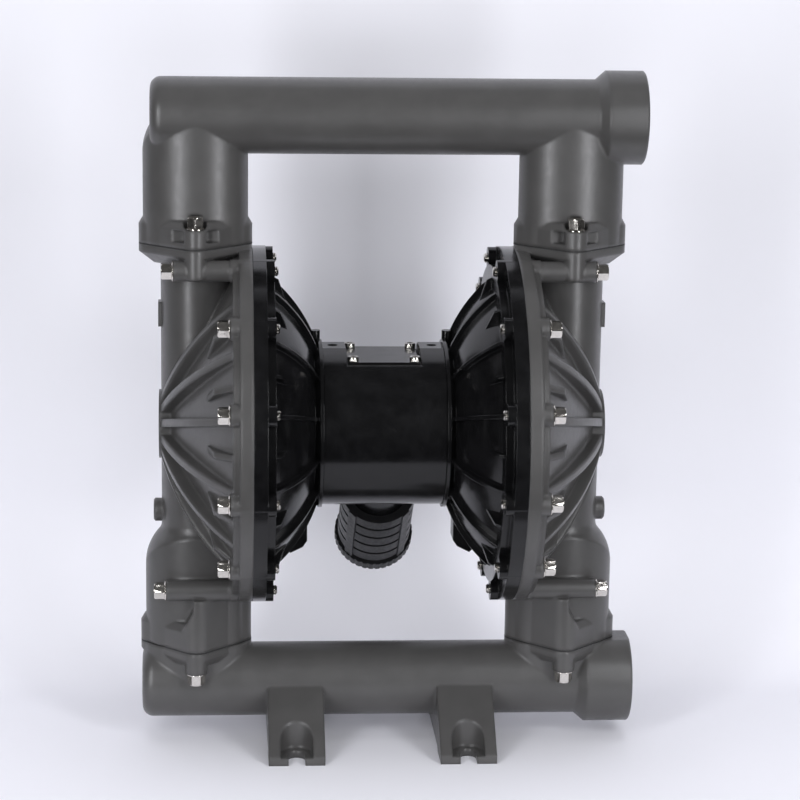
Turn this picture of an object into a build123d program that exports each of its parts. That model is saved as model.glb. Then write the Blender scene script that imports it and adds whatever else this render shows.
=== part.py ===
from build123d import *
import os
from math import cos, radians, sin, sqrt

# Air operated double diaphragm pump, 3 inch ports, millimetres.
# +X points at the pipe ports, +Y at the air valve and exhaust, +Z up.
# The origin is on the floor, in the middle of the four mounting slots.

# ------------------------------------------------------------------ layout
AXIS_Z = 388.5           # diaphragm axis above the floor
COLUMN_X = 221.0         # liquid columns left and right of the middle
TOP_SPLIT_Z = 606.5      # middle of the joint between caps and outlet manifold
BOTTOM_SPLIT_Z = 122.0   # middle of the joint between caps and inlet manifold
TOP_TUBE_Z = 756.0       # outlet tube axis
BOTTOM_TUBE_Z = 70.0     # inlet tube axis
JOINT_X = 155.0          # face between liquid cap and air cap
GASKET_T = 1.6           # manifold gasket

# ------------------------------------------------------------------ general clearances
LOOSE = 0.3              # between a fitted piece and its pocket, per side
RUNNING = 0.05           # between a shaft and its bore, per side
BALL_GAP = 1.0           # between a ball and its guides, per side

# ------------------------------------------------------------------ manifold tubes and ports
TUBE_R = 44.6
TUBE_BORE_R = 38.0
OUTLET_CLOSED_X = -273.5
INLET_CLOSED_X = -286.0
CLOSED_END_WALL = 12.0
CLOSED_END_FILLET = 13.0
PORT_R = 55.0
PORT_BORE_R = 42.5       # minor radius of a 3 inch pipe thread
PORT_THREAD_L = 40.0
OUTLET_PORT_X = 304.0
INLET_PORT_X = 306.0
OUTLET_NECK_X = 247.0    # where the tube starts to widen to the port
INLET_NECK_X = 240.0
NECK_L = 12.0
PORT_LIP = 1.5

# ------------------------------------------------------------------ elbows and ball chambers
OUTLET_ELBOW_A = 61.5    # half width of the oval elbow
OUTLET_ELBOW_B = 43.5    # half depth
OUTLET_DOME_Z = 714.0    # where the elbow starts to round over
INLET_ELBOW_A = 64.0
INLET_ELBOW_B = 44.0
BULGE_A = 60.4           # lower ball chamber of the liquid cap
BULGE_B = 46.0
BULGE_DOME_Z = 218.0
BULGE_BLEND_R = 14.0
CHAMBER_WALL = 8.0
CHAMBER_B = 37.5         # half depth of the chamber, which guides the ball
BALL_R = 36.5
BALL_LIFT = 20.0
SEAT_R = 42.0
SEAT_BORE_R = 28.0
SEAT_LAND_R = 33.0       # where the ball's seat meets the ring's top
SEAT_DEPTH = 12.0
GUIDE_T = 6.0
STOP_BAR_W = 10.0
STOP_BAR_H = 9.0

# ------------------------------------------------------------------ manifold flanges
FLANGE_TIP = 66.5        # centre to each rounded corner
FLANGE_CORNER_R = 18.0
OUTLET_BAND_H = 22.0
BAND_TAPER_H = 8.0
BAND_TAPER = 30.0
FLANGE_BOLT_Y = 54.0
FLANGE_BOSS_R = 13.2
CAP_TOP_FLANGE_T = 9.0
CAP_TOP_BOSS_H = 34.0
CAP_TOP_THREAD_L = 16.6   # stops above the long cap bolts
CAP_BOTTOM_THREAD_L = 26.0
CAP_BOTTOM_FLANGE_T = 24.0
CAP_BOTTOM_WEB_H = 64.0
WEB_FLAT = 3.0
WEB_SLANT = 14.0
INLET_BOSS_H = 26.0
POCKET_L = 44.0
POCKET_X = FLANGE_BOSS_R + POCKET_L / 2 - 0.5
POCKET_WALL_Y = 46.5
POCKET_Z = 6.5
POCKET_H = 14.5

# ------------------------------------------------------------------ feet
FOOT_X = 102.0
FOOT_W = 67.0
FOOT_Y = 119.5
TOE_H = 10.0
FOOT_TOP_Y = 44.0
FOOT_TOP_Z = 74.5
FOOT_POCKET_R = 19.4
FOOT_POCKET_Y = 101.2
FOOT_SLOT_R = 10.0
FOOT_PLATE_T = 9.0
FOOT_RELIEF_Y = 74.0
FOOT_RELIEF_H = 5.0

# ------------------------------------------------------------------ liquid cap
CAP_R = 212.0
CAP_FLANGE_T = 15.5
CAP_RING_R = 204.0
CAP_RING_H = 7.5
BOLT_CIRCLE_R = 198.7
BOLT_COUNT = 12
BOLT_START = 15.0
BOSS_R = 13.5
BOSS_H = 10.5
COLUMN_R = 41.0
DUCT_R = 31.0
DOME_ROOT_R = 177.0
DOME_MID = (218.0, 110.0)
DOME_TIP = (249.5, 41.0)
RIB_ROOT_R = 186.0
RIB_MID = (229.0, 120.0)
RIB_TIP = (261.0, 44.0)
RIB_FOOT_R = 30.0
APEX_R = 41.0
APEX_X = 264.5
CAVITY_R = 164.0
CAVITY_MID = (209.0, 104.0)
CAVITY_TIP = (240.0, 33.0)
RIB_ANGLES = (-59.0, -37.0, -13.0, 13.0, 37.0, 59.0)
GUSSET_ANGLES = (-48.0, -25.0, 0.0, 25.0, 48.0)
RIB_T = 9.5
GUSSET_T = 8.0
GUSSET_CREST = (200.0, 167.0)
GUSSET_TIP = (207.0, 134.0)
LONG_BOSS_TOP_X = 246.0
LONG_BOSS_BOTTOM_X = 256.0
LONG_BOSS_R = 12.3
SIDE_BOSS_Z = 283.0
SIDE_BOSS_R = 14.0
SIDE_BOSS_H = 9.5
SIDE_BOSS_CHAMFER = 2.0
PAD_Z = 522.0
PAD_H = 29.0
PAD_W = 20.0
PAD_T = 3.0

# ------------------------------------------------------------------ air cap
HUB_X = 72.0             # air cap face on the centre body
HUB_R = 100.5
HUB_T = 16.0
LIP_T = 4.0
AIR_BAND_T = 16.0
LUG_T = 9.6
LUG_RING_R = 190.0
AIR_ROOT = (82.0, 91.0)
AIR_MID = (101.0, 130.5)
AIR_RIM_R = 163.0
AIR_CREST_ROOT = (76.5, 95.0)
AIR_CREST_MID = (98.0, 138.0)
AIR_CREST_RIM_R = 173.0
AIR_CAVITY_MID = (110.5, 124.0)
AIR_CAVITY_R = 84.0
AIR_RIB_T = 4.5
AIR_GUSSET_T = 3.5
AIR_GUSSET_FOOT = (114.0, 145.0)
AIR_RIBS = 12
DRAIN_X = (88.0, 108.0)
DRAIN_Y = (-12.0, 22.0)
DRAIN_Z = (236.0, 300.0)
DRAIN_CORNER = 5.0
DRAIN_DROP = 5.0
HUB_PIN_X = 79.0
HUB_PIN_Y = 25.0
HUB_PIN_Z = 497.0
HUB_PIN_R = 6.0

# ------------------------------------------------------------------ diaphragm and shaft
BEAD_IN_R = 172.0
BEAD_OUT_R = 184.0
BEAD_DEPTH = 3.4
SHEET_T = 5.0
PLATE_R = 78.0
INNER_PLATE_T = 12.0
OUTER_PLATE_T = 17.0
ROD_R = 12.5
STUD_R = 9.0
STUD_L = 14.0
BUSH_R = 17.0
STROKE = 20.0            # each way from the middle
TRIP_R = 6.0
TRIP_OFFSET = 48.0       # trip rod above the shaft
TRIP_RATIO = 0.4         # trip rod travel per shaft travel

# ------------------------------------------------------------------ centre body
BODY_R = 97.0
TOP_FLAT_H = 95.0
RECESS_H = 80.0
RECESS_HALF_W = 44.0
COVER_HALF_W = 42.5
COVER_HALF_D = 50.0
COVER_T = 3.0
COVER_GASKET_T = 0.8
COVER_SCREW_X = 36.5
COVER_SCREW_Y = 42.0
VALVE_PAD_W = 124.0
VALVE_PAD_Y = 88.0
VALVE_Z_LOW = 348.0
VALVE_Z_HIGH = 438.0
VALVE_GASKET_T = 1.5
CENTRE_SCREW_CIRCLE_R = 74.0
CENTRE_SCREWS = 6
ROD_PASSAGE_R = 15.0
TOP_HOLE_X = 59.0
TOP_HOLE_R = 6.0
TOP_HOLE_DEPTH = 8.0

# ------------------------------------------------------------------ air valve
VALVE_W = 120.0
VALVE_D = 56.0
SPOOL_R = 14.0
SPOOL_TRAVEL = 7.0
SPOOL_L = 100.0
SPOOL_Y = 109.0
VALVE_CAP_T = 10.0
AIR_PORT_R = 12.2        # minor radius of a 3/4 inch pipe thread
AIR_PORT_L = 18.0
AIR_PORT_Z = 393.0
AIR_PASSAGE_R = 6.0
VALVE_CORNER_R = 6.0
VALVE_SCREW_X = 30.0
VALVE_CAP_SCREW_Y = 20.0
VALVE_SCREW_Z = 36.0
VALVE_CAP_SCREW_Z = 34.0
SPOOL_WAIST_R = 10.0
SPOOL_LAND_L = 16.0

# ------------------------------------------------------------------ exhaust
EXHAUST_TILT = 40.0
EXHAUST_X = 4.0
EXHAUST_Y = 92.0
EXHAUST_Z = 283.0
EXHAUST_BOSS_R = 36.0
EXHAUST_BOSS_L = 60.0
MUFFLER_L = 116.0
MUFFLER_CORE_R = 42.0
MUFFLER_RING_R = 46.0
MUFFLER_BAR_R = 47.5
MUFFLER_BAR_W = 12.0
MUFFLER_RINGS = 5
MUFFLER_SLOT = 5.0
NECK_R = 20.0
NECK_DEPTH = 18.0
RIM_R = 49.5
RIM_L = 14.0
SCALLOPS = 36
SCALLOP_R = 2.2

# ------------------------------------------------------------------ fasteners
BOLT_R = 6.0
BOLT_HOLE_R = 6.75
HEX_AF = 18.0
HEX_H = 11.8
WASHER_R = 12.5
WASHER_T = 2.7
BOLT_END = 4.5           # bolt end past the lug
SMALL_R = 4.0
SMALL_HEAD_R = 6.5
SMALL_HEAD_H = 6.0
SMALL_GRIP = 15.0        # small screw engaged in its casting

# ------------------------------------------------------------------ derived places
CAP_TOP_Z = TOP_SPLIT_Z - GASKET_T / 2
OUTLET_FACE_Z = TOP_SPLIT_Z + GASKET_T / 2
CAP_BOTTOM_Z = BOTTOM_SPLIT_Z + GASKET_T / 2
INLET_FACE_Z = BOTTOM_SPLIT_Z - GASKET_T / 2
CAP_FACE_X = JOINT_X + CAP_FLANGE_T
CAP_RING_X = CAP_FACE_X + CAP_RING_H
BOSS_X = CAP_FACE_X + BOSS_H
AIR_BAND_X = JOINT_X - AIR_BAND_T
LUG_X = AIR_BAND_X - LUG_T
HUB_INNER_X = HUB_X + HUB_T
VALVE_FACE_Y = VALVE_PAD_Y + VALVE_GASKET_T
VALVE_BACK_Y = VALVE_FACE_Y + VALVE_D
VALVE_MID_Y = VALVE_FACE_Y + VALVE_D / 2
INNER_PLATE_X = JOINT_X - SHEET_T / 2 - INNER_PLATE_T
OUTER_PLATE_X = JOINT_X + SHEET_T / 2
ROD_END_X = JOINT_X - SHEET_T / 2
TRIP_END_X = INNER_PLATE_X - (1 - TRIP_RATIO) * STROKE - BALL_GAP
BALL_SEAT_H = sqrt((BALL_R + LOOSE) ** 2 - SEAT_LAND_R ** 2)
STOP_H = BALL_SEAT_H + BALL_LIFT + BALL_R + LOOSE
SHEET_HALF = SHEET_T / 2
SHAFT_AXIS = Axis((0, 0, AXIS_Z), (1, 0, 0))


def radial_plane(angle):
    """Plane through the diaphragm axis: local x runs along it, local y points out at the angle."""
    a = radians(angle)
    return Plane(origin=(0, 0, AXIS_Z), x_dir=(1, 0, 0), z_dir=(0, -sin(a), -cos(a)))


def side_plane(x, z=AXIS_Z):
    """Plane across the diaphragm axis, facing +X."""
    return Plane(origin=(x, 0, z), x_dir=(0, 1, 0), z_dir=(1, 0, 0))


def column_plane(x):
    """Upright plane through a column's axis: local y is the height."""
    return Plane(origin=(x, 0, 0), x_dir=(1, 0, 0), z_dir=(0, -1, 0))


def domed_oval(x, half_width, half_depth, base_z, dome_z):
    """Upright oval column closed by a round top."""
    with BuildPart() as column:
        with BuildSketch(column_plane(x)):
            with BuildLine():
                Polyline((0, base_z), (half_width, base_z), (half_width, dome_z))
                TangentArc((half_width, dome_z), (0, dome_z + half_width), tangent=(0, 1))
                Line((0, dome_z + half_width), (0, base_z))
            make_face()
        revolve(axis=Axis((x, 0, 0), (0, 0, 1)))
        with BuildSketch(Plane.XY.offset(base_z)):
            with Locations((x, 0)):
                Ellipse(half_width + LOOSE, half_depth)
        extrude(amount=dome_z + half_width, mode=Mode.INTERSECT)
    return column.part


def necked_oval(x, half_width, half_depth, base_z, dome_z, neck_r, top_z):
    """Oval ball chamber that rounds in and runs on as a round column."""
    blend = BULGE_BLEND_R
    blend_z = dome_z + sqrt((half_width + blend) ** 2 - (neck_r + blend) ** 2)
    share = half_width / (half_width + blend)
    touch = ((neck_r + blend) * share, dome_z + (blend_z - dome_z) * share)
    with BuildPart() as column:
        with BuildSketch(column_plane(x)):
            with BuildLine():
                Polyline((0, base_z), (half_width, base_z), (half_width, dome_z))
                shoulder = TangentArc((half_width, dome_z), touch, tangent=(0, 1))
                TangentArc(touch, (neck_r, blend_z), tangent=shoulder % 1)
                Polyline((neck_r, blend_z), (neck_r, top_z), (0, top_z), (0, base_z))
            make_face()
        revolve(axis=Axis((x, 0, 0), (0, 0, 1)))
        with BuildSketch(Plane.XY.offset(base_z)):
            with Locations((x, 0)):
                Ellipse(half_width + LOOSE, half_depth)
        extrude(amount=top_z - base_z, mode=Mode.INTERSECT)
    return column.part


def flange_outline(x):
    """Rounded square standing on its corner, inside the active sketch."""
    side = sqrt(2) * (FLANGE_TIP + (sqrt(2) - 1) * FLANGE_CORNER_R)
    with Locations((x, 0)):
        RectangleRounded(side, side, FLANGE_CORNER_R, rotation=45)


def flange_bolt_places(x):
    """Bolt places of one manifold flange, in its plane."""
    return [(x, -FLANGE_BOLT_Y), (x, FLANGE_BOLT_Y)]


def tube_profile(closed_x, neck_x, port_x):
    """Half outline of a manifold tube with its port boss."""
    round_r = CLOSED_END_FILLET
    with BuildSketch() as outline:
        with BuildLine():
            Polyline((closed_x, 0), (closed_x, TUBE_R - round_r))
            TangentArc((closed_x, TUBE_R - round_r), (closed_x + round_r, TUBE_R), tangent=(0, 1))
            Polyline(
                (closed_x + round_r, TUBE_R), (neck_x, TUBE_R), (neck_x + NECK_L, PORT_R),
                (port_x - PORT_LIP, PORT_R), (port_x, PORT_R - PORT_LIP), (port_x, 0), (closed_x, 0),
            )
        make_face()
    return outline.sketch


def hex_bolt(length):
    """Flanged hexagon bolt: the seat is at z = 0, the shank points down."""
    with BuildPart() as bolt:
        Cylinder(BOLT_R, length, align=(Align.CENTER, Align.CENTER, Align.MAX))
        Cylinder(WASHER_R, WASHER_T, align=(Align.CENTER, Align.CENTER, Align.MIN))
        with BuildSketch(Plane.XY.offset(WASHER_T)):
            RegularPolygon(HEX_AF / 2, 6, major_radius=False)
        extrude(amount=HEX_H)
    return bolt.part


def small_screw(length):
    """Round head machine screw: the seat is at z = 0, the shank points down."""
    with BuildPart() as screw:
        Cylinder(SMALL_R, length, align=(Align.CENTER, Align.CENTER, Align.MAX))
        Cylinder(SMALL_HEAD_R, SMALL_HEAD_H, align=(Align.CENTER, Align.CENTER, Align.MIN))
        chamfer(screw.faces().sort_by(Axis.Z)[-1].edges(), 1.5)
    return screw.part


def finish(builder, name):
    """Label a finished piece and write it."""
    builder.part.label = name
    export_step(builder.part, f"parts/{name}.step")


os.makedirs("parts", exist_ok=True)

# ------------------------------------------------------------------ outlet manifold
outlet_elbows = [
    domed_oval(x, OUTLET_ELBOW_A, OUTLET_ELBOW_B, OUTLET_FACE_Z, OUTLET_DOME_Z)
    for x in (-COLUMN_X, COLUMN_X)
]
outlet_chambers = [
    domed_oval(x, OUTLET_ELBOW_A - CHAMBER_WALL, CHAMBER_B, OUTLET_FACE_Z, OUTLET_DOME_Z)
    for x in (-COLUMN_X, COLUMN_X)
]
outlet_tube_plane = Plane(origin=(0, 0, TOP_TUBE_Z), x_dir=(1, 0, 0), z_dir=(0, -1, 0))
outlet_axis = Axis((0, 0, TOP_TUBE_Z), (1, 0, 0))

with BuildPart() as outlet_manifold:
    with BuildSketch(outlet_tube_plane):
        add(tube_profile(OUTLET_CLOSED_X, OUTLET_NECK_X, OUTLET_PORT_X))
    revolve(axis=outlet_axis)
    add(outlet_elbows)
    for x in (-COLUMN_X, COLUMN_X):
        with BuildSketch(Plane.XY.offset(OUTLET_FACE_Z)):
            flange_outline(x)
        extrude(amount=OUTLET_BAND_H)
        with BuildSketch(Plane.XY.offset(OUTLET_FACE_Z + OUTLET_BAND_H)):
            flange_outline(x)
        extrude(amount=BAND_TAPER_H, taper=BAND_TAPER)
        with BuildSketch(Plane.XY.offset(OUTLET_FACE_Z + OUTLET_BAND_H)):
            with Locations(*flange_bolt_places(x)):
                Circle(FLANGE_BOSS_R + LOOSE)
        extrude(amount=HEX_H + WASHER_T + LOOSE, mode=Mode.SUBTRACT)
        with BuildSketch(Plane.XY.offset(OUTLET_FACE_Z)):
            with Locations(*flange_bolt_places(x)):
                Circle(FLANGE_BOSS_R)
        extrude(amount=OUTLET_BAND_H)
        with BuildSketch(Plane.XY.offset(OUTLET_FACE_Z + POCKET_Z)):
            for side in (-1, 1):
                for end in (-1, 1):
                    with Locations((x + side * POCKET_X, end * (POCKET_WALL_Y + FLANGE_TIP / 2))):
                        Rectangle(POCKET_L, FLANGE_TIP)
        extrude(amount=POCKET_H, mode=Mode.SUBTRACT)
    with BuildSketch(side_plane(OUTLET_CLOSED_X + CLOSED_END_WALL, TOP_TUBE_Z)):
        Circle(TUBE_BORE_R)
    extrude(amount=OUTLET_PORT_X - OUTLET_CLOSED_X, mode=Mode.SUBTRACT)
    with BuildSketch(side_plane(OUTLET_PORT_X - PORT_THREAD_L, TOP_TUBE_Z)):
        Circle(PORT_BORE_R)
    extrude(amount=PORT_THREAD_L, mode=Mode.SUBTRACT)
    add(outlet_chambers, mode=Mode.SUBTRACT)
    for x in (-COLUMN_X, COLUMN_X):
        with BuildSketch(Plane.XY.offset(OUTLET_FACE_Z)):
            with Locations(*flange_bolt_places(x)):
                Circle(BOLT_HOLE_R)
        extrude(amount=OUTLET_BAND_H, mode=Mode.SUBTRACT)
        guide_w = OUTLET_ELBOW_A - BALL_R - BALL_GAP - CHAMBER_WALL / 2
        with BuildSketch(Plane.XY.offset(OUTLET_FACE_Z)):
            for side in (-1, 1):
                with Locations((x + side * (BALL_R + BALL_GAP + guide_w / 2), 0)):
                    Rectangle(guide_w, GUIDE_T)
        extrude(amount=STOP_H + STOP_BAR_H)
        with BuildSketch(Plane.XY.offset(OUTLET_FACE_Z + STOP_H)):
            with Locations((x, 0)):
                Rectangle(STOP_BAR_W, 2 * CHAMBER_B + GUIDE_T)
        extrude(amount=STOP_BAR_H)
finish(outlet_manifold, "outlet_manifold")

# ------------------------------------------------------------------ inlet manifold with the feet
inlet_tube_plane = Plane(origin=(0, 0, BOTTOM_TUBE_Z), x_dir=(1, 0, 0), z_dir=(0, -1, 0))
inlet_axis = Axis((0, 0, BOTTOM_TUBE_Z), (1, 0, 0))

with BuildPart() as inlet_manifold:
    with BuildSketch(inlet_tube_plane):
        add(tube_profile(INLET_CLOSED_X, INLET_NECK_X, INLET_PORT_X))
    revolve(axis=inlet_axis)
    for x in (-COLUMN_X, COLUMN_X):
        with BuildSketch(Plane.XY.offset(BOTTOM_TUBE_Z)):
            with Locations((x, 0)):
                Ellipse(INLET_ELBOW_A, INLET_ELBOW_B)
        extrude(amount=INLET_FACE_Z - BOTTOM_TUBE_Z)
        with BuildSketch(Plane.XY.offset(INLET_FACE_Z)):
            flange_outline(x)
        extrude(amount=-CAP_TOP_FLANGE_T)
        with BuildSketch(Plane.XY.offset(INLET_FACE_Z - CAP_TOP_FLANGE_T)):
            flange_outline(x)
        extrude(amount=-BAND_TAPER_H, taper=BAND_TAPER)
        with BuildSketch(Plane.XY.offset(INLET_FACE_Z)):
            with Locations(*flange_bolt_places(x)):
                Circle(FLANGE_BOSS_R)
        extrude(amount=-INLET_BOSS_H)
    for x in (-FOOT_X, FOOT_X):
        with BuildSketch(Plane(origin=(x, 0, 0), x_dir=(0, 1, 0), z_dir=(1, 0, 0))):
            with BuildLine():
                Polyline(
                    (-FOOT_Y, 0), (-FOOT_Y, TOE_H), (-FOOT_TOP_Y, FOOT_TOP_Z), (FOOT_TOP_Y, FOOT_TOP_Z),
                    (FOOT_Y, TOE_H), (FOOT_Y, 0), (FOOT_RELIEF_Y, 0),
                    (FOOT_RELIEF_Y - FOOT_RELIEF_H, FOOT_RELIEF_H),
                    (FOOT_RELIEF_H - FOOT_RELIEF_Y, FOOT_RELIEF_H), (-FOOT_RELIEF_Y, 0), (-FOOT_Y, 0),
                )
            make_face()
        extrude(amount=FOOT_W / 2, both=True)
    for x in (-FOOT_X, FOOT_X):
        for end in (-1, 1):
            run = FOOT_Y - FOOT_POCKET_Y + LOOSE
            with BuildSketch(Plane.XY.offset(FOOT_PLATE_T)):
                with Locations((x, end * FOOT_POCKET_Y)):
                    Circle(FOOT_POCKET_R)
                with Locations((x, end * (FOOT_POCKET_Y + run / 2))):
                    Rectangle(2 * FOOT_POCKET_R, run)
            extrude(amount=FOOT_TOP_Z, mode=Mode.SUBTRACT)
            with BuildSketch():
                with Locations((x, end * FOOT_POCKET_Y)):
                    Circle(FOOT_SLOT_R)
                with Locations((x, end * (FOOT_POCKET_Y + run / 2))):
                    Rectangle(2 * FOOT_SLOT_R, run)
            extrude(amount=FOOT_PLATE_T, mode=Mode.SUBTRACT)
    with BuildSketch(side_plane(INLET_CLOSED_X + CLOSED_END_WALL, BOTTOM_TUBE_Z)):
        Circle(TUBE_BORE_R)
    extrude(amount=INLET_PORT_X - INLET_CLOSED_X, mode=Mode.SUBTRACT)
    with BuildSketch(side_plane(INLET_PORT_X - PORT_THREAD_L, BOTTOM_TUBE_Z)):
        Circle(PORT_BORE_R)
    extrude(amount=PORT_THREAD_L, mode=Mode.SUBTRACT)
    for x in (-COLUMN_X, COLUMN_X):
        with BuildSketch(Plane.XY.offset(INLET_FACE_Z)):
            with Locations((x, 0)):
                Circle(DUCT_R)
        extrude(amount=BOTTOM_TUBE_Z - INLET_FACE_Z, mode=Mode.SUBTRACT)
        with BuildSketch(Plane.XY.offset(INLET_FACE_Z)):
            with Locations((x, 0)):
                Circle(SEAT_R + LOOSE)
        extrude(amount=-SEAT_DEPTH, mode=Mode.SUBTRACT)
        with BuildSketch(Plane.XY.offset(INLET_FACE_Z)):
            with Locations(*flange_bolt_places(x)):
                Circle(BOLT_HOLE_R)
        extrude(amount=-INLET_BOSS_H, mode=Mode.SUBTRACT)
        with BuildSketch(Plane.XY.offset(INLET_FACE_Z - INLET_BOSS_H)):
            with Locations(*flange_bolt_places(x)):
                Circle(FLANGE_BOSS_R + LOOSE)
        extrude(amount=-HEX_H - WASHER_T - LOOSE, mode=Mode.SUBTRACT)
    with BuildSketch(Plane.XY.offset(INLET_FACE_Z)):
        Rectangle(2 * INLET_PORT_X, 2 * FOOT_Y)
    extrude(amount=PORT_R, mode=Mode.SUBTRACT)
finish(inlet_manifold, "inlet_manifold")

# ------------------------------------------------------------------ liquid caps
cap_column = necked_oval(
    COLUMN_X, BULGE_A, BULGE_B, CAP_BOTTOM_Z, BULGE_DOME_Z, COLUMN_R, CAP_TOP_Z,
)
cap_chamber = domed_oval(
    COLUMN_X, BULGE_A - CHAMBER_WALL, CHAMBER_B, CAP_BOTTOM_Z, BULGE_DOME_Z,
)
long_bolt_half_y = BOLT_CIRCLE_R * cos(radians(90 - BOLT_START))
long_bolt_rise = BOLT_CIRCLE_R * sin(radians(90 - BOLT_START))
long_bolt_places = [(y, z) for z in (-long_bolt_rise, long_bolt_rise)
                    for y in (-long_bolt_half_y, long_bolt_half_y)]

# web between the lower flange and the ball chamber, on the inner half of the flange only
web_foot_z = CAP_BOTTOM_Z + CAP_BOTTOM_FLANGE_T
web_crest_z = CAP_BOTTOM_Z + CAP_BOTTOM_WEB_H

with BuildPart() as cap_web:
    with BuildSketch(Plane.XY.offset(CAP_BOTTOM_Z)):
        flange_outline(COLUMN_X)
    extrude(amount=CAP_BOTTOM_WEB_H)
    with BuildSketch(column_plane(COLUMN_X)):
        Polygon(
            (WEB_FLAT, web_crest_z + CAP_BOTTOM_FLANGE_T),
            (WEB_FLAT, web_crest_z - WEB_SLANT),
            (WEB_FLAT + WEB_SLANT, web_foot_z),
            (2 * FLANGE_TIP, web_foot_z),
            (2 * FLANGE_TIP, web_crest_z + CAP_BOTTOM_FLANGE_T),
            align=None,
        )
    extrude(amount=2 * FLANGE_TIP, both=True, mode=Mode.SUBTRACT)

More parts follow.
